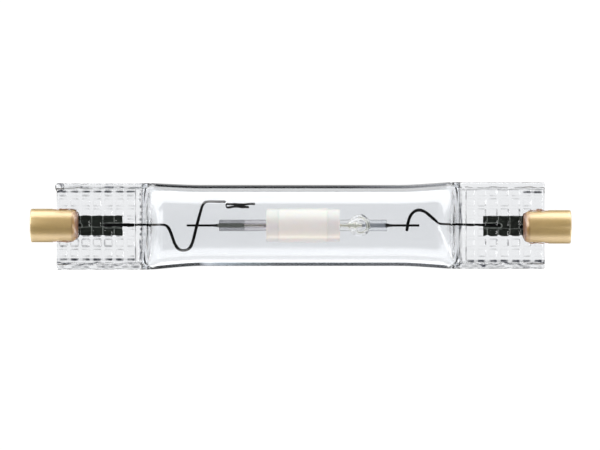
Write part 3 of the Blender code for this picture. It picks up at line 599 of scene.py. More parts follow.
def painted_rail_dashes(left, out, y, from_column, luck):
    """A row of painted dark dashes along each rail, one for each pad: on the right, the upper row only near
    the end.
    """
    upper = hill(y - np.where(left, 7.37, 7.25), 1.4 * LINE)
    upper = upper * np.where(left, 0.75, 1.3 * smooth((out - 48) / 1.5))
    lower = hill(y + np.where(left, 7.41, 7.76), 1.5 * LINE)
    dashes = 0.25 + 0.75 * within(from_column, PAD_HALF_LENGTH)
    in_waffle = smooth((out - RIDGE - 0.4) / 0.5)
    return np.maximum(upper, lower) * dashes * in_waffle * (0.8 + 0.9 * luck)


def painted_rail_shade(left, out, y):
    """Painted shade on the rails' wavering inner edges, and a second painted line below the lower one where
    that is faint.
    """
    wave = 0.10 * np.sin(out * 0.8 + 0.5) + 0.05 * np.sin(out * 2.1)
    patches = smooth(0.5 + 0.9 * np.sin(out * 0.62 + np.sign(y)) * np.sin(out * 1.7))
    upper = hill(y - np.where(left, 8.28, 7.87) - wave, 1.3 * LINE)
    upper = upper * np.where(left, 0.45 + 0.6 * patches, 0.35)
    lower = hill(y + 8.4 + 2.2 * wave, 1.5 * LINE) * (0.35 + 0.65 * patches)
    lowest = hill(y + 9.0 + wave, 1.3 * LINE) * 0.6 * (1 - patches)
    return np.maximum.reduce([upper, lower, lowest]) * smooth(out - SHOULDER_END + 1.0)


def painted_groove_shade(left, out, y):
    """Painted shade on the groove beside the shoulder, toothed on the left, and on the outer edge of the
    ridge.
    """
    tooth = 0.5 + 0.5 * np.sin(2 * np.pi * y / (TOOTH_PITCH / MM) + 1.2 * np.sin(y * 0.8))
    toothed = np.where(y > -3.2, 0.15 + 0.85 * tooth ** 2, 0.75 + 0.25 * tooth)
    groove = hill(out - GROOVE - 0.2 - 0.08 * np.sin(y * 1.4), 1.5 * LINE)
    groove = groove * np.where(left, toothed, 0.35 + 0.5 * smooth(0.5 + np.sin(y * 0.55 + 0.6)))
    ridge = hill(out - RIDGE - np.where(left, 0.55, 0.6), LINE)
    ridge = ridge * (0.25 + 0.4 * smooth(0.5 + 0.8 * np.sin(y * 0.9 + 1.0)))
    return np.maximum(groove, ridge) * smooth((8.0 - np.abs(y)) / 0.6)


def painted_edge_shade(x, y):
    """How much painted shade goes where the jaws have cut the glass sharply, from 0 to 1: the edges that look
    dark from above.

    Each edge is a hill of the distance to it, times where along it the jaws bit. A ring round the bead
    of glass on the corner takes their place there.
    """
    left = x < 0
    out = np.abs(x) / MM
    from_column, from_row = (distance / MM for distance in from_pad(x, y))
    around_bead = from_bead(x, y)
    y = y / MM
    luck = 0.5 + 0.5 * np.sin(out * 1.31 + 2.1 * np.sin(y * 1.17) + np.where(left, 0.4, 2.2))
    lines = np.maximum.reduce([
        painted_pad_shade(left, out, y, from_column, from_row, luck), painted_rail_dashes(left, out, y, from_column, luck),
        painted_rail_shade(left, out, y), painted_groove_shade(left, out, y),
    ])
    lines = np.maximum(lines * smooth(around_bead - 0.7), 1.6 * hill(around_bead - 0.9, 0.17))
    on_pinch = smooth((out - SHOULDER_END + 0.3) / 0.3) * (out < PINCH_END / MM - 0.05)
    return np.clip(lines * on_pinch, 0, 1)


def painted_stub_shade(x, y):
    """Painted shade where the stub's foot is sharp on the side that faces the right end: two dark arcs round
    it, from 0 to 1.
    """
    turn = np.degrees(np.arctan2(y, x - TIP_X))
    arcs = smooth((26 - np.abs(turn - 57)) / 12) + smooth((13 - np.abs(turn + 40)) / 8)
    return hill(np.hypot(x - TIP_X, y) - TIP_RADIUS, 0.13 * MM) * arcs


# Nodes

def whole_colour(colour):
    """A colour with its alpha, from three shares or from one grey."""
    return (*colour, 1.0) if isinstance(colour, tuple) else (colour, colour, colour, 1.0)


def feed(tree, value, socket):
    """Links another node's socket to this one, or sets it to a number, a vector or a colour."""
    if isinstance(value, bpy.types.NodeSocket):
        tree.links.new(value, socket)
    else:
        socket.default_value = whole_colour(value) if socket.type == "RGBA" else value


def add_node(tree, kind, inputs=(), **settings):
    """A new node with its settings made and its inputs fed, which are given by name or number."""
    node = tree.nodes.new("ShaderNode" + kind)
    for name, value in settings.items():
        setattr(node, name, value)
    for name, value in dict(inputs).items():
        feed(tree, value, node.inputs[name])
    return node


def object_place(tree, scale=(1, 1, 1)):
    """Object coordinates, stretched by a Mapping node."""
    place = add_node(tree, "TexCoord").outputs["Object"]
    return add_node(tree, "Mapping", {"Vector": place, "Scale": scale}).outputs["Vector"]


def axes(tree, vector=None):
    """A vector's three numbers, of the place on the object where none is given."""
    outputs = add_node(tree, "SeparateXYZ", {"Vector": vector or object_place(tree)}).outputs
    return outputs["X"], outputs["Y"], outputs["Z"]


def maths(tree, operation, *values):
    """One step of arithmetic on numbers or sockets."""
    return add_node(tree, "Math", enumerate(values), operation=operation).outputs["Value"]


def product(tree, first, *others):
    """All the values multiplied."""
    for other in others:
        first = maths(tree, "MULTIPLY", first, other)
    return first


def noise(tree, size, stretch=(1, 1, 1), detail=3.0):
    """Grain on Object coordinates, finer with a larger number."""
    inputs = {"Vector": object_place(tree, stretch), "Scale": size, "Detail": detail, "Roughness": 0.55}
    return add_node(tree, "TexNoise", inputs).outputs["Fac"]


def ramp(tree, value, *stops):
    """A colour ramp through (place, colour) stops, whose colours are three shares or one grey."""
    node = add_node(tree, "ValToRGB", {"Fac": value})
    elements = node.color_ramp.elements
    while len(elements) < len(stops):
        elements.new(0.5)
    for element, (place, colour) in zip(elements, stops):
        element.position = place
        element.color = whole_colour(colour)
    return node.outputs["Color"]


def blended(tree, share, first, second, way="MIX"):
    """Mixes two colours by a share from 0 to 1."""
    inputs = {"Factor": share, "A": first, "B": second}
    return add_node(tree, "Mix", inputs, data_type="RGBA", blend_type=way).outputs["Result"]


def spread(tree, value, low, high, start=0.0, end=1.0):
    """Maps a value from start..end to low..high, held between them."""
    inputs = {"Value": value, "From Min": start, "From Max": end, "To Min": low, "To Max": high}
    return add_node(tree, "MapRange", inputs).outputs["Result"]


def attribute(tree, name):
    """A number that the piece carries at each point."""
    return add_node(tree, "Attribute", attribute_name=name).outputs["Fac"]


def turned_away(tree):
    """How far the surface turns from the viewer, from 0 to 1."""
    return add_node(tree, "LayerWeight", {"Blend": 0.5}).outputs["Facing"]


def new_material(name):
    """A new material and its tree of nodes."""
    material = bpy.data.materials.new(name)
    material.use_nodes = True
    return material, material.node_tree


def finish(material, height, strength, depth, **sockets):
    """Feeds the shader's sockets, named with _ for a space, and raises the surface by a height map."""
    tree = material.node_tree
    shader = tree.nodes["Principled BSDF"]
    raised = add_node(tree, "Bump", {"Height": height, "Strength": strength, "Distance": depth})
    feed(tree, raised.outputs["Normal"], shader.inputs["Normal"])
    for name, value in sockets.items():
        feed(tree, value, shader.inputs[name.replace("_", " ")])
    return material


# Materials

def painted_rim_shade_and_light(tree):
    """Painted shade on the drawn tube's rim along the lamp, with a painted lighter band near the left end, in
    a row of stops for each side of the axis.
    """
    x, y, _ = axes(tree)
    along = spread(tree, x, 0.0, 1.0, -30 * MM, 30 * MM)
    back = ramp(
        tree, along, (0.0, (0.0022, 0.0026, 0.003)), (0.62, (0.0035, 0.004, 0.0045)),
        (0.68, (0.006, 0.0065, 0.008)), (0.72, (0.012, 0.0125, 0.015)), (0.77, (0.035, 0.036, 0.045)),
        (0.85, (0.06, 0.065, 0.075)), (0.92, (0.11, 0.115, 0.13)), (1.0, (0.17, 0.18, 0.20)),
    )
    front = ramp(
        tree, along, (0.0, (0.006, 0.0065, 0.007)), (0.134, (0.018, 0.021, 0.023)),
        (0.157, (0.50, 0.56, 0.66)), (0.172, (0.52, 0.60, 0.70)), (0.21, (0.26, 0.33, 0.41)),
        (0.30, (0.11, 0.145, 0.17)), (0.40, (0.045, 0.052, 0.06)), (0.5, (0.032, 0.038, 0.046)),
        (0.70, (0.030, 0.035, 0.042)), (0.80, (0.05, 0.055, 0.065)), (1.0, (0.03, 0.033, 0.038)),
    )
    return blended(tree, spread(tree, y, 0.0, 1.0, -2 * MM, 2 * MM), front, back)


def quartz_material(name, rim):
    """Clear fused quartz with a faint grey-blue body, drawing lines along the tube and a painted dark rim.

    The painted rim is shade, with a painted lighter band, where the surface turns edge on, away from the
    pinches. The painted dark lines where the jaws pressed come from the glass's own attribute, broken up by
    fine grain.
    """
    material, tree = new_material(name)
    streaks = noise(tree, 1.0, (30, 700, 700), detail=2.0)
    body = ramp(tree, streaks, (0.3, (0.876, 0.888, 0.906)), (0.7, (0.894, 0.906, 0.922)))
    if rim:
        # Painted shade: dark lines on the jaws' sharp edges, read from the pressed attribute.
        grains = noise(tree, 1400.0, detail=2.0)
        cut = product(tree, attribute(tree, "pressed"), spread(tree, grains, 0.8, 1.9, 0.38, 0.6))
        body = blended(tree, maths(tree, "MINIMUM", cut, 1.0), body, (0.035, 0.038, 0.05))
        # Painted shade and a painted lighter band on the tube's rim, where the surface turns edge on.
        x, y, _ = axes(tree)
        edge = product(
            tree, spread(tree, turned_away(tree), 0.0, 1.0, 0.565, 0.605),
            spread(tree, maths(tree, "ABSOLUTE", x), 1.0, 0.0, 31.5 * MM, 33.5 * MM),
            spread(tree, maths(tree, "ABSOLUTE", y), 0.0, 1.0, 7 * MM, 7.8 * MM),
        )
        body = blended(tree, edge, body, painted_rim_shade_and_light(tree))
    return finish(
        material, streaks, 0.25, 0.02 * MM, Base_Color=body, Roughness=0.0, Transmission_Weight=1.0, IOR=1.458
    )


def cap_material():
    """Satin glazed ceramic, rough and reddish brown at the mouth, partly bare ceramic and partly painted
    shade of the rounded mouth, with a paler lip where the glazing ends.
    """
    material, tree = new_material("cap_ceramic")
    x, _, _ = axes(tree)
    grains = noise(tree, 900.0)
    ragged = maths(tree, "MULTIPLY_ADD", grains, 0.35 * MM, maths(tree, "ABSOLUTE", x))
    mouth, outer = ends("right_cap", SIDES["right"])
    from_mouth = spread(tree, ragged, 0.0, 1.0, mouth + 0.175 * MM, outer + 0.175 * MM)
    # Along the cap: dark reddish brown at the mouth, partly bare ceramic and partly painted shade of the
    # rounded mouth, a paler lip, then the glazed colour.
    glaze_and_mouth_shade = ramp(
        tree, from_mouth, (0.0, (0.20, 0.075, 0.02)), (0.05, (0.23, 0.09, 0.025)),
        (0.07, (0.37, 0.185, 0.03)), (0.10, (0.37, 0.195, 0.03)), (0.12, (0.33, 0.185, 0.045)),
        (0.15, (0.47, 0.31, 0.10)), (0.9, (0.50, 0.335, 0.105)), (1.0, (0.56, 0.40, 0.16)),
    )
    mottle = ramp(tree, grains, (0.3, 0.93), (0.7, 1.0))
    return finish(
        material, grains, 0.15, 0.02 * MM, Base_Color=blended(tree, 1.0, glaze_and_mouth_shade, mottle, "MULTIPLY"),
        Roughness=spread(tree, from_mouth, 0.8, 0.48, 0.08, 0.13), Metallic=0.52,
        Coat_Weight=1.0, Coat_Roughness=0.35, Coat_IOR=2.0,
    )


def speckled(name, dark, light, roughness, grain=4000.0, depth=0.01 * MM, metallic=1.0, glancing=1.0):
    """Colour and roughness that vary in fine grain. Oxide dulls a metal where it turns edge on."""
    material, tree = new_material(name)
    grains = noise(tree, grain)
    return finish(
        material, grains, 0.3, depth, Base_Color=ramp(tree, grains, (0.3, dark), (0.7, light)),
        Roughness=spread(tree, grains, *roughness), Metallic=metallic, Specular_Tint=glancing,
    )


def foil_material():
    """Etched foil: nearly black green-grey, with a painted highlight along its pressed creases and the welts
    round the leads' ends.
    """
    material, tree = new_material("molybdenum_foil")
    grains = noise(tree, 1200.0, (1, 1.6, 1))
    etched = ramp(tree, grains, (0.3, (0.008, 0.011, 0.008)), (0.7, (0.028, 0.035, 0.028)))
    # Painted highlight: the creases and welts, read from the crease attribute, are painted bright.
    painted_crease_glint = product(tree, attribute(tree, "crease"), spread(tree, grains, 0.3, 1.0, 0.35, 0.6))
    return finish(
        material, grains, 0.3, 0.02 * MM, Base_Color=blended(tree, painted_crease_glint, etched, (0.42, 0.45, 0.42)),
        Roughness=spread(tree, grains, 0.35, 0.55), Metallic=0.6,
    )


def alumina_material():
    """Translucent sintered alumina, pinkish through the middle, with painted highlights, cream along +Y and
    warm along -Y, and painted grey shade towards both edges.
    """
    material, tree = new_material("alumina")
    grains = noise(tree, 1500.0)
    x, y, _ = axes(tree)
    # Across the body in Y: painted shade greying both edges, a warm painted highlight near -Y and a cream one
    # near +Y, pinkish between.
    across = spread(tree, y, 0.0, 1.0, -3.75 * MM, 3.75 * MM)
    body = ramp(
        tree, across, (0.0, (0.60, 0.58, 0.575)), (0.10, (0.68, 0.64, 0.60)), (0.15, (0.90, 0.83, 0.73)),
        (0.175, (0.99, 0.92, 0.82)), (0.24, (0.86, 0.79, 0.71)), (0.34, (0.82, 0.765, 0.72)),
        (0.62, (0.87, 0.82, 0.775)), (0.80, (0.985, 0.96, 0.90)), (0.93, (0.92, 0.91, 0.85)),
        (1.0, (0.66, 0.66, 0.63)),
    )
    from_middle = maths(tree, "ABSOLUTE", maths(tree, "SUBTRACT", x, BODY_X))
    seam = spread(tree, from_middle, 0.0, 1.0, PLUG_FACE - 0.5 * MM, PLUG_FACE + 0.5 * MM)
    shade = ramp(
        tree, seam, (0.0, 1.0), (0.35, 0.99), (0.45, 0.87), (0.55, (0.91, 0.915, 0.94)),
        (1.0, (0.93, 0.93, 0.955)),
    )
    mottle = blended(tree, 1.0, ramp(tree, grains, (0.3, 0.96), (0.7, 1.0)), shade, "MULTIPLY")
    return finish(
        material, grains, 0.2, 0.01 * MM, Base_Color=blended(tree, 1.0, body, mottle, "MULTIPLY"),
        Roughness=spread(tree, grains, 0.30, 0.40), Subsurface_Weight=0.3, Subsurface_Scale=1.0 * MM,
    )


def capillary_material():
    """Alumina thin enough to see through, with a painted dark outline where it turns edge on, smoky too where
    the seal fills the bore.
    """
    material, tree = new_material("capillary_alumina")
    grains = noise(tree, 1500.0)
    x, _, _ = axes(tree)
    ragged = maths(tree, "MULTIPLY_ADD", grains, 0.3 * MM, x)
    body = ramp(
        tree, spread(tree, ragged, 0.0, 1.0, -20 * MM, 20 * MM), (0.0, (0.44, 0.44, 0.455)),
        (0.195, (0.44, 0.44, 0.455)), (0.2, (0.72, 0.70, 0.72)), (0.45, (0.82, 0.79, 0.80)),
        (0.55, (0.99, 0.985, 0.965)), (0.855, (0.99, 0.985, 0.965)), (0.86, (0.88, 0.89, 0.91)),
        (1.0, (0.90, 0.91, 0.93)),
    )
    # Painted shade: the outline darkens where the surface turns edge on.
    painted_outline_shade = spread(tree, turned_away(tree), 0.0, 0.75, 0.4, 0.55)
    return finish(
        material, grains, 0.2, 0.01 * MM, Base_Color=blended(tree, painted_outline_shade, body, (0.32, 0.32, 0.33)),
        Roughness=spread(tree, grains, 0.03, 0.08), Transmission_Weight=1.0, IOR=1.12,
    )


def frit_material():
    """Glass solder, nearly black where it has run out of the tube, milkier inside it, green to blue."""
    material, tree = new_material("sealing_frit")
    grains = noise(tree, 1500.0)
    x, _, _ = axes(tree)
    seal = ramp(
        tree, spread(tree, x, 0.0, 1.0, -20 * MM, 20 * MM), (0.0, 0.006), (0.045, 0.006),
        (0.06, (0.21, 0.225, 0.20)), (0.5, (0.24, 0.25, 0.225)), (0.9, (0.25, 0.265, 0.285)),
        (0.955, (0.22, 0.235, 0.255)), (0.965, 0.006),
    )
    roughness = spread(tree, grains, 0.15, 0.3)
    return finish(material, grains, 0.2, 0.01 * MM, Base_Color=seal, Roughness=roughness)


quartz = quartz_material("fused_quartz", rim=True)
quartz_bore = quartz_material("fused_quartz_bore", rim=False)
cap_ceramic = cap_material()
alumina = alumina_material()
capillary_alumina = capillary_material()
foil_metal = foil_material()
frit = frit_material()
cement = speckled(
    "cement", (0.20, 0.10, 0.06), (0.50, 0.30, 0.20), (0.8, 0.95), grain=1500.0, depth=0.05 * MM, metallic=0.0
)
salts = speckled(
    "halide_salts", (0.60, 0.42, 0.12), (0.85, 0.72, 0.40), (0.3, 0.6), grain=1500.0, metallic=0.0
)
molybdenum = speckled("molybdenum", 0.004, (0.014, 0.014, 0.015), (0.3, 0.45), glancing=0.08)
wound_molybdenum = speckled("wound_molybdenum", (0.66, 0.66, 0.60), (0.86, 0.86, 0.80), (0.45, 0.6))
niobium = speckled("niobium", 0.003, 0.012, (0.3, 0.45), glancing=0.05)
tungsten = speckled("tungsten", (0.50, 0.50, 0.48), (0.66, 0.66, 0.63), (0.4, 0.55))
contact_metal = speckled("contact_metal", (0.60, 0.58, 0.54), (0.74, 0.72, 0.68), (0.2, 0.35))
getter_metal = speckled("getter_metal", 0.003, 0.02, (0.4, 0.6), grain=1100.0, glancing=0.3)


# Pieces

def write_attribute(piece, name, values):
    """Stores one number for each point, and 0 for the points that close the ends."""
    numbers = piece.data.attributes.new(name, "FLOAT", "POINT")
    whole = np.zeros(len(piece.data.vertices), np.float32)
    whole[:values.size] = values.ravel()
    numbers.data.foreach_set("value", whole)


def let_light_through(piece):
    """Lets light reach what lies behind a clear piece: it casts no shadow and is left out of soft light."""
    piece.visible_shadow = False
    piece.visible_diffuse = False


def build_glass():
    """The outer bulb with both pinches: its outside, and its bore as a hollow with a finish of its own."""
    outside = outer_rings()
    shells = [shell(outside), shell(bore_rings(), hollow=True)]
    finishes = [quartz, quartz_bore]
    glass = add_piece("quartz_glass", shells, finishes, "fused_quartz", "quartz_envelope", sharp=50)
    x, y, z = np.moveaxis(outside - np.array([0, AXIS_Y, AXIS_Z]), -1, 0)
    # The pressed attribute holds painted shade: dark lines on the jaws' sharp edges and dark arcs round the
    # stub's foot.
    write_attribute(glass, "pressed", np.maximum(painted_edge_shade(x, y), painted_stub_shade(x, y) * (z > 0)))
    let_light_through(glass)


def cut_box(piece, low, high):
    """Cuts a box out of a piece, with an exact Boolean that is then applied to its mesh."""
    corners = [(x, y, z) for x in (low[0], high[0]) for y in (low[1], high[1]) for z in (low[2], high[2])]
    faces = [(0, 1, 3, 2), (4, 6, 7, 5), (0, 4, 5, 1), (2, 3, 7, 6), (0, 2, 6, 4), (1, 5, 7, 3)]
    cutter = mesh_object("slot_cutter", corners, faces)
    modifier = piece.modifiers.new("slot", "BOOLEAN")
    modifier.operation = "DIFFERENCE"
    modifier.object = cutter
    modifier.solver = "EXACT"
    shaped = bpy.data.meshes.new_from_object(piece.evaluated_get(bpy.context.evaluated_depsgraph_get()))
    piece.modifiers.clear()
    piece.data = shaped
    shaped.set_sharp_from_angle(angle=math.radians(35))
    bpy.data.objects.remove(cutter, do_unlink=True)


def build_cap(name, side):
    """A turned sleeve with a rounded mouth and a stepped recess, slotted to straddle the pinch."""
    mouth_x, outer_x = ends(f"{name}_cap", side)
    (_, centre_y, _), (_, radius, _) = middle_and_half(f"{name}_cap")
    inward = -side
    seat = ends(f"{name}_contact", side)[1] + inward * SEAT_DEPTH
    recess = middle_and_half(f"{name}_contact")[1][1] + CLEARANCE
    bore_end = ends(f"{name}_cement", side)[0] + inward * CLEARANCE
    quarter = np.linspace(0, np.pi / 2, 14)
    cut_off = np.column_stack([inward * (1 - np.sin(quarter)), 1 - np.cos(quarter)])
    mouth = np.array([mouth_x, radius]) - CAP_MOUTH_ROUND * cut_off
    rim = rounded([
        (bore_end, 0.05 * MM), (bore_end, CAP_BORE), (seat, CAP_BORE), (seat, recess), (outer_x, recess),
        (outer_x, radius), (outer_x + inward * 3 * MM, radius),
    ], [0.05 * MM, 0.05 * MM, 0.1 * MM, 0.15 * MM, 0.3 * MM])
    sleeve = shell(turned(np.concatenate([rim, mouth, [(mouth_x, 0.05 * MM)]]), 128, centre_y))
    cap = add_piece(f"{name}_cap_sleeve", [sleeve], [cap_ceramic], "cap_ceramic", f"{name}_cap")

    slot_half = middle_and_half(f"{name}_cement")[1][2] + CLEARANCE
    slot_from, slot_to = sorted((side * (PINCH_END + SLOT_GAP), mouth_x + inward * MM))
    low = (slot_from, centre_y - 2 * radius, AXIS_Z - slot_half)
    cut_box(cap, low, (slot_to, centre_y + 2 * radius, AXIS_Z + slot_half))


def build_contact(name, side):
    """A turned button with a domed face, a dimple in its middle and a shank."""
    back, face = ends(f"{name}_contact", side)
    inward = -side
    (_, centre_y, _), (_, radius, _) = middle_and_half(f"{name}_contact")
    r = np.linspace(0.03, 1, 40)[:-6] * radius
    doming = 0.25 * MM * (r / radius) ** 4
    dimple = 0.12 * MM * hill(r, 0.6 * MM)
    domed = face + inward * (doming + dimple)
    flange = face + inward * 1.0 * MM
    shank = 1.0 * MM
    edge = rounded([
        (domed[-1], r[-1]), (face + inward * 0.3 * MM, radius), (flange, radius), (flange, shank),
        (back, shank), (back, 0.03 * MM),
    ], 0.1 * MM)
    button = shell(turned(np.concatenate([np.column_stack([domed, r]), edge[1:]]), 72, centre_y))
    add_piece(f"{name}_contact_button", [button], [contact_metal], "contact_metal", f"{name}_contact")


def slab_ring(x, radius, half_height, centre_y, points=96):
    """The outline of a disc cut flat above and below: y = r cos a, z = r sin a held to the half height."""
    angle = round_angles(points)
    z = np.clip(radius * np.sin(angle), -half_height, half_height)
    return as_points(x, radius * np.cos(angle) + centre_y, z + AXIS_Z)


def build_cement(name, side):
    """Refractory cement: a pad behind the pinch, a sleeve round the shank and what squeezed out.

    The squeezed-out cement is a wavering bead along each edge of the slot, on both faces of the pinch.
    """
    near, far = ends(f"{name}_cement", side)
    (_, centre_y, _), (_, pad_radius, half_height) = middle_and_half(f"{name}_cement")
    pad_back = near + side * CEMENT_PAD
    rings = [slab_ring(x, radius, height, centre_y) for x, radius, height in (
        (near, CEMENT_HOLE, CEMENT_HOLE), (near, pad_radius - 0.1 * MM, half_height - 0.08 * MM),
        (near + side * 0.1 * MM, pad_radius, half_height), (pad_back, pad_radius, half_height),
        (pad_back + side * 0.01 * MM, CEMENT_SLEEVE, half_height), (far, CEMENT_SLEEVE, half_height),
        (far, CEMENT_BORE, CEMENT_BORE), (near + side * 1.5 * MM, CEMENT_BORE, CEMENT_BORE),
        (near + side * 1.45 * MM, CEMENT_HOLE, CEMENT_HOLE),
    )]
    shells = [shell(np.array(rings), wrap_rows=True)]

    mouth_x = ends(f"{name}_cap", side)[0]
    cap_radius = middle_and_half(f"{name}_cap")[1][1]
    along = np.linspace(mouth_x + side * 1.1 * MM, side * (PINCH_END - 0.1 * MM), 60)
    for edge in (-1, 1):
        for face in (-1, 1):
            waver = 0.05 * MM * np.sin(along / MM * 3.1 + edge) + 0.03 * MM * np.sin(along / MM * 7.7 + face)
            radii = 0.10 * MM + 0.04 * MM * np.sin(along / MM * 2.3 + edge + face)
            radii = radii * np.sqrt(np.sin(np.linspace(0.05, np.pi - 0.05, 60)))
            y = centre_y + edge * (cap_radius - 0.12 * MM) + waver
            path = as_points(along, y, AXIS_Z + face * (half_height + 0.02 * MM))
            shells.append(shell(swept(path, radii, 12)))
    add_piece(f"{name}_cement_fill", shells, [cement], "cement", f"{name}_cement")


def from_groove(x):
    """How far a place is from the nearest groove between two columns of pads, as a share of their pitch."""
    groove = (np.abs(x) - PAD_MIDDLE) / PAD_PITCH_ALONG - 0.5
    return groove - np.round(groove)


def foil_relief_and_glint(x, y, name, side):
    """How the foil is pressed: creases under the grooves of the waffle and a welt round each lead's end,
    which lift the foil and also mark where it gets a painted highlight.

    A crease is a hill of the distance to its line, and a welt one of the distance to the lead's end less
    a reach.
    """
    inner_end, outer_end = ends(f"{name}_foil", side)
    creases = hill(from_groove(x) * PAD_PITCH_ALONG, CREASE_WIDTH)
    seam_y = -0.26 * MM if side < 0 else -0.75 * MM
    seam = hill(y - seam_y - 0.04 * MM * np.sin(x / MM * 2), CREASE_WIDTH)

    past_inner = np.maximum(0, side * (x - inner_end) - INNER_LEAD_LAP + 0.3 * MM)
    past_outer = np.maximum(0, -side * (x - outer_end) - OUTER_LEAD_LAP + 0.3 * MM)
    from_inner = np.hypot(past_inner, y)
    from_outer = np.hypot(past_outer, y - middle_and_half(f"{name}_cap")[0][1])
    welts = [hill(distance - HALO_REACH, 1.1 * CREASE_WIDTH) for distance in (from_inner, from_outer)]
    creases = creases * smooth((np.minimum(from_inner, from_outer) - HALO_REACH) / (0.3 * MM))
    return np.maximum.reduce([creases, 0.7 * seam, *welts])


def build_foil(name, side):
    """A thin foil with feathered edges: rings round its section, lifted by the pressed relief."""
    (middle_x, _, middle_z), (half_length, half_width, half_thickness) = middle_and_half(f"{name}_foil")
    x = np.linspace(middle_x - half_length, middle_x + half_length, 170)[:, None]
    nick = 1 - 0.05 * hill(from_groove(x), 0.16)
    place = np.sin(np.linspace(-np.pi / 2, np.pi / 2, 90))[None, :]
    y = half_width * nick * place
    feather = half_thickness * np.clip(1 - place ** 2, 0, 1) ** 0.25
    relief = foil_relief_and_glint(x, y, name, side)
    z = middle_z + FOIL_LIFT * relief
    below = as_points(x, y, z - feather)[:, -2:0:-1]
    rings = np.concatenate([as_points(x, y, z + feather), below], axis=1)
    foil = add_piece(f"{name}_foil_strip", [shell(rings)], [foil_metal], "molybdenum_foil", f"{name}_foil")
    # The crease attribute marks where the foil gets a painted highlight.
    write_attribute(foil, "crease", np.concatenate([relief, relief[:, -2:0:-1]], axis=1))


def lead_radius(x):
    """Radius of a lead at each x: thinner in the pinch and a little so between the bends.

    In the left pinch it has a beaded swelling.
    """
    to_seal = 0.72 + 0.28 * smooth((30.6 * MM - np.abs(x)) / (2.0 * MM))
    along_top = 1 - 0.1 * smooth((22.6 * MM - np.abs(x)) / (1.2 * MM))
    swelling = 1 + 0.55 * hill(x + 37.9 * MM, 1.3 * MM) * (1 + 0.25 * np.sin(x / MM * 8.0))
    return LEAD_RADIUS * to_seal * along_top * swelling


def build_lead(name, side):
    """From the foil through the bends, sinking from the axis to the depth of the weld along X.

    The left lead goes down, up past the weld and along under the top of the glass. The right one goes up
    a slope and over in a hook that passes the weld.
    """
    start = ends(f"{name}_foil", side)[0] + side * INNER_LEAD_LAP
    line = through([(start, 0.1 * MM)] + [(x * MM, y * MM) for x, y in LEAD_BENDS[name]])
    sink_from, sink_to = LEAD_SINKS[name]
    share = smooth((sink_from - side * line[:, 0]) / (sink_from - sink_to))
    path = np.column_stack([line, AXIS_Z + (WELD_Z - AXIS_Z) * share])
    wire = wire_shell(path, lead_radius)
    add_piece(f"{name}_lead_drawn", [wire], [molybdenum], "molybdenum", f"{name}_inner_lead")


def build_getter():
    """A strip folded to a V that narrows to a waist, leaning a little so that its face shows.

    Each ring is the strip's section: the fold's line moved half a thickness to either side, and half a
    width up and down the leaning edge.
    """
    low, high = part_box("getter")
    fold_x = low.x + GETTER_FOLD + GETTER_THICKNESS / 2
    top_y = high.y - GETTER_THICKNESS / 2
    fold_y = top_y - GETTER_FOLD
    half_width = (high.z - low.z) / 2 * 0.97
    waist_x = fold_x + (GETTER_LENGTH - GETTER_FOLD) / 2
    turn = np.linspace(np.pi / 2, 3 * np.pi / 2, 12)
    fold = np.column_stack([fold_x + GETTER_FOLD * np.cos(turn), fold_y + GETTER_FOLD * np.sin(turn)])
    upper = [(high.x, top_y), (waist_x, fold_y + 0.16 * MM)]
    lower = [(waist_x, fold_y - 0.16 * MM), (low.x + GETTER_LENGTH, fold_y - GETTER_FOLD)]
    line = refined(np.concatenate([upper, fold, lower]), 0.12 * MM)
    line[:, 1] += 0.05 * MM * np.sin(line[:, 0] / MM * 2.1)
    along = unit(np.gradient(line, axis=0))
    heavier = 1 + 1.4 * hill(line[:, :1] - waist_x - 0.2 * MM, 1.1 * MM)
    across = np.column_stack([-along[:, 1], along[:, 0]]) * GETTER_THICKNESS / 2 * heavier
    edge = np.array([(-1, -0.8), (-1, 0.8), (-0.6, 1), (0.6, 1), (1, 0.8), (1, -0.8), (0.6, -1), (-0.6, -1)])
    upright = edge[:, 1] * half_width
    x = line[:, :1] + across[:, :1] * edge[:, 0]
    y = line[:, 1:] + across[:, 1:] * edge[:, 0] + upright * math.sin(GETTER_LEAN)
    rings = as_points(x, y, (low.z + high.z) / 2 + upright * math.cos(GETTER_LEAN))
    add_piece("getter_strip", [shell(rings)], [getter_metal], "getter_metal", "getter", sharp=60)


def build_frit(name, side):
    """The seal in a capillary's mouth, drawn out along the wire to a bead that thins by a power of 1.6."""
    inner_end, bead_end = ends(f"{name}_frit_seal", side)
    mouth = ends(f"{name}_capillary", side)[1]
    share = np.linspace(0, 1, 16)
    bead_start = mouth + side * 0.03 * MM
    bead = np.column_stack([
        bead_start + (bead_end - bead_start) * share, 0.27 * MM + 0.17 * MM * (1 - share) ** 1.6,
    ])
    bore = [(bead_end, FRIT_BORE), (inner_end, FRIT_BORE)]
    profile = np.concatenate([[(inner_end, FRIT_RADIUS), (mouth, FRIT_RADIUS)], bead, bore])
    seal = shell(turned(profile, 40), wrap_rows=True)
    add_piece(f"{name}_frit", [seal], [frit], "sealing_frit", f"{name}_frit_seal")


def build_wire(node, material, slot):
    """A straight wire that fills a solid's box along the axis, with its ends rounded."""
    (middle_x, centre_y, _), (half_length, _, radius) = middle_and_half(node)
    low, high = middle_x - half_length, middle_x + half_length
    corners = [(low, radius * 0.02), (low, radius), (high, radius), (high, radius * 0.02)]
    wire = shell(turned(rounded(corners, radius * 0.3, steps=4), 24, centre_y))
    add_piece(f"{node}_drawn", [wire], [material], slot, node)


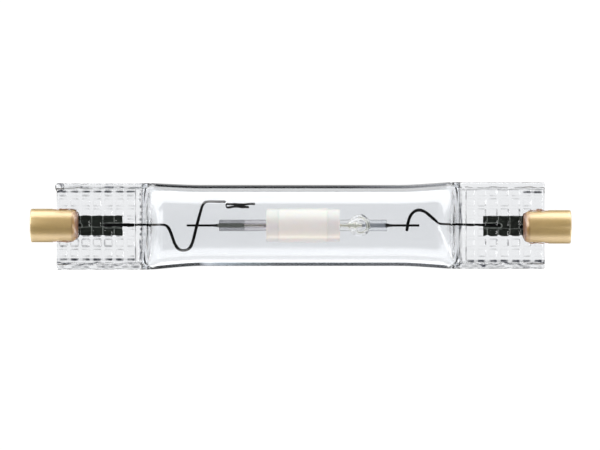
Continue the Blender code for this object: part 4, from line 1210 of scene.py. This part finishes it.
def build_wound_rod(name):
    """A rod wound with fine wire: its radius goes up and down as |sin|, once for each turn."""
    node = f"{name}_molybdenum_rod"
    low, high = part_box(node)
    x = np.linspace(low.x, high.x, 400)
    radii = (high.z - AXIS_Z) * (0.86 + 0.14 * np.abs(np.sin(np.pi * (x - low.x) / WINDING_PITCH)))
    radii[[0, -1]] = 0.02 * MM
    rod = shell(turned(np.column_stack([x, radii]), 24))
    add_piece(f"{name}_wound_rod", [rod], [wound_molybdenum], "molybdenum", node)


def build_coil(name):
    """Five turns of wire near the electrode's tip, a helix of (x, r cos a, r sin a)."""
    node = f"{name}_electrode_coil"
    low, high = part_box(node)
    wire_radius = 0.1 * MM
    radius = high.z - AXIS_Z - wire_radius
    x = np.linspace(low.x + wire_radius, high.x - wire_radius, 160)
    angle = np.linspace(0, 2 * np.pi * COIL_TURNS, 160)
    path = as_points(x, AXIS_Y + radius * np.cos(angle), AXIS_Z + radius * np.sin(angle))
    coil = shell(swept(path, wire_radius, 10, reference=(1, 0, 0)))
    add_piece(f"{name}_coil_wound", [coil], [tungsten], "tungsten", node)


def build_feedthrough(name, side):
    """A capillary and what runs through it: frit, wires, wound rod, electrode and coil."""
    tube = tube_shell(f"{name}_capillary", CAPILLARY_BORE, 0.12 * MM)
    let_light_through(add_piece(
        f"{name}_capillary_tube", [tube], [capillary_alumina], "alumina", f"{name}_capillary"
    ))
    build_frit(name, side)
    build_wire(f"{name}_niobium_wire", niobium, "niobium")
    build_wire(f"{name}_electrode_rod", tungsten, "tungsten")
    build_wire(f"{name}_outer_lead", molybdenum, "molybdenum")
    build_wound_rod(name)
    build_coil(name)


def build_arc_tube():
    """The discharge vessel: a cylinder a little smaller over its plugs, the plugs and the salts."""
    over_plug = BODY_RADIUS - 0.12 * MM
    bore = BODY_RADIUS - 0.9 * MM
    half = [
        (PLUG_FACE - 0.1 * MM, BODY_RADIUS), (PLUG_FACE + 0.12 * MM, over_plug), (BODY_HALF, over_plug),
        (BODY_HALF, bore),
    ]
    corners = [(BODY_X - x, radius) for x, radius in half[::-1]]
    corners += [(BODY_X + x, radius) for x, radius in half]
    cuts = [0.2 * MM, 0.35 * MM, 0.06 * MM, 0.06 * MM]
    body = shell(turned(rounded(corners, cuts + cuts[::-1], closed=True), 96), wrap_rows=True)
    add_piece("arc_tube_cylinder", [body], [alumina], "alumina", "arc_tube_body")
    for name in SIDES:
        ring = tube_shell(f"{name}_end_plug", PLUG_BORE, 0.1 * MM)
        add_piece(f"{name}_plug_ring", [ring], [alumina], "alumina", f"{name}_end_plug")

    centre, size = middle_and_half("halide_dose")
    latitude = np.linspace(0.05, np.pi - 0.05, 24)[:, None]
    longitude = round_angles(40)[None, :]
    lumps = 0.93 + 0.07 * np.sin(5 * longitude + 3 * latitude) * np.sin(4 * latitude)
    pool = lumps[..., None] * as_points(
        np.cos(latitude), np.sin(latitude) * np.cos(longitude), np.sin(latitude) * np.sin(longitude)
    )
    add_piece("halide_pool", [shell(centre + size * pool)], [salts], "halide_salts", "halide_dose", sharp=80)


build_glass()
build_arc_tube()
for name, side in SIDES.items():
    build_lead(name, side)
build_getter()
for name, side in SIDES.items():
    build_cap(name, side)
    build_contact(name, side)
    build_cement(name, side)
    build_foil(name, side)
    build_feedthrough(name, side)


# Floor, light and camera

def build_floor():
    """A white floor. Rays that leave glass or metal pass through it to the lit background below."""
    half = 1.5
    under = -0.1 * MM
    corners = [(-half, -half, under), (half, -half, under), (half, half, under), (-half, half, under)]
    floor = mesh_object("floor", corners, [(0, 1, 2, 3)])
    material, tree = new_material("white_floor")
    tree.nodes.clear()
    rays = add_node(tree, "LightPath").outputs
    glow = add_node(tree, "Emission", {"Strength": 0.88}).outputs["Emission"]
    matt = add_node(tree, "BsdfDiffuse", {"Color": 0.17}).outputs["BSDF"]
    lit = add_node(tree, "AddShader", enumerate((glow, matt))).outputs["Shader"]
    clear = add_node(tree, "BsdfTransparent").outputs["BSDF"]
    either = maths(tree, "MAXIMUM", rays["Is Glossy Ray"], rays["Is Transmission Ray"])
    choice = add_node(tree, "MixShader", {"Fac": either, 1: lit, 2: clear}).outputs["Shader"]
    add_node(tree, "OutputMaterial", {"Surface": choice})
    floor.data.materials.append(material)


def end_streak(tree, direction, plane, offset, inner, outer):
    """A long soft light past the end that the plane's normal points to.

    It is the directions whose product with the normal is near an offset, over a stretch of x.
    """
    x, _, _ = axes(tree, direction)
    turned_by = add_node(tree, "VectorMath", {0: direction, 1: plane}, operation="DOT_PRODUCT")
    off_plane = maths(tree, "ABSOLUTE", maths(tree, "SUBTRACT", turned_by.outputs["Value"], offset))
    stretch = ramp(tree, maths(tree, "ABSOLUTE", x), (0.3, 0.0), (0.38, 1.0), (0.83, 1.0), (0.95, 0.0))
    this_end = maths(tree, "GREATER_THAN", product(tree, x, math.copysign(1.0, plane[0])), 0.0)
    return product(tree, spread(tree, off_plane, 1.0, 0.0, inner, outer), stretch, this_end)


def build_world():
    """A studio round the lamp: white below it, dark round that, long soft lights on both sides.

    One more past each end shows in the shoulders. The level is 0 straight down and 1 straight up.
    """
    world = bpy.data.worlds.new("studio")
    bpy.context.scene.world = world
    world.use_nodes = True
    tree = world.node_tree
    tree.nodes.clear()
    direction = add_node(tree, "TexCoord").outputs["Generated"]
    _, y, z = axes(tree, direction)
    level = maths(tree, "MULTIPLY_ADD", z, 0.5, 0.5)
    outward = maths(tree, "SQRT", maths(tree, "SUBTRACT", 1.0, product(tree, z, z)))
    toward_sides = maths(tree, "DIVIDE", maths(tree, "ABSOLUTE", y), maths(tree, "MAXIMUM", outward, 0.001))
    at_back = maths(tree, "GREATER_THAN", y, 0.0)
    rays = add_node(tree, "LightPath").outputs
    through_glass = rays["Is Transmission Ray"]
    mirrored = product(tree, rays["Is Glossy Ray"], maths(tree, "SUBTRACT", 1.0, through_glass))

    matt = ramp(tree, level, (0.0, 0.8), (0.5, 0.75), (0.8, 0.80), (1.0, 0.80))
    through_sides = ramp(
        tree, level, (0.0, 1.0), (0.0245, 0.96), (0.034, 0.94), (0.045, 0.86), (0.13, 0.80), (0.2, 0.55),
        (0.3, 0.45), (0.55, 0.35), (1.0, 0.05),
    )
    through_ends = ramp(
        tree, level, (0.0, 1.0), (0.05, 0.98), (0.14, 0.97), (0.25, 0.90), (0.5, 0.75), (0.8, 0.6), (1.0, 0.3)
    )
    seen_through = blended(tree, spread(tree, toward_sides, 0.0, 1.0, 0.3, 0.7), through_ends, through_sides)
    reflected = ramp(
        tree, level, (0.0, 0.9), (0.02, 0.85), (0.03, 0.03), (0.15, 0.03), (0.2, 0.3), (0.26, 0.5),
        (0.5, 0.5), (0.75, 0.2), (1.0, 0.03),
    )
    background = blended(tree, mirrored, blended(tree, through_glass, matt, seen_through), reflected)

    strip_level = maths(tree, "MULTIPLY_ADD", through_glass, 0.1, level)
    back = ramp(tree, strip_level, (0.322, 0.0), (0.338, 1.0), (0.708, 1.0), (0.722, 0.0))
    back = product(tree, back, at_back, maths(tree, "MULTIPLY_ADD", mirrored, 1.9, 1.8))
    front = ramp(
        tree, strip_level, (0.17, 0.0), (0.20, 0.42), (0.435, 0.42), (0.455, 1.0), (0.695, 1.0), (0.709, 0.0)
    )
    at_front = maths(tree, "SUBTRACT", 1.0, at_back)
    front = product(tree, front, at_front, maths(tree, "MULTIPLY_ADD", mirrored, -0.1, 1.7))
    faded = ramp(tree, toward_sides, (0.25, 0.0), (0.45, 1.0))
    strips = product(tree, maths(tree, "ADD", back, front), faded)
    floor_gleam = ramp(tree, level, (0.025, 0.0), (0.03, 0.8), (0.06, 0.8), (0.085, 0.0))
    streaks = maths(
        tree, "ADD", end_streak(tree, direction, (-0.001, 0.89, -0.454), 0.0, 0.16, 0.32),
        end_streak(tree, direction, (0.625, 0.781, 0.0), 0.21, 0.07, 0.15),
    )
    floor_gleam = product(tree, floor_gleam, at_back, mirrored)
    streak_strength = 6.0
    total = background
    for light in (strips, floor_gleam, product(tree, streaks, mirrored, streak_strength)):
        total = maths(tree, "ADD", total, light)

    by_camera = rays["Is Camera Ray"]
    seen = maths(tree, "MAXIMUM", total, by_camera)
    most = maths(tree, "MULTIPLY_ADD", by_camera, -10.0, 11.0)
    shade = add_node(tree, "Background", {"Color": 1.0, "Strength": maths(tree, "MINIMUM", seen, most)})
    add_node(tree, "OutputWorld", {"Surface": shade.outputs["Background"]})


def build_camera():
    """Looks straight down through a long lens, so that the frame is 130.8 mm wide at the lamp's axis."""
    data = bpy.data.cameras.new("camera")
    data.lens = 200
    data.sensor_width = 36
    data.clip_start = 0.01
    frame_width = 130.8 * MM
    distance = data.lens * frame_width / data.sensor_width
    camera = bpy.data.objects.new("camera", data)
    bpy.context.scene.collection.objects.link(camera)
    camera.location = (-0.16 * MM, 0.1 * MM, AXIS_Z + distance)
    bpy.context.scene.camera = camera


build_floor()
build_world()
build_camera()
bpy.context.scene.view_settings.view_transform = "Standard"
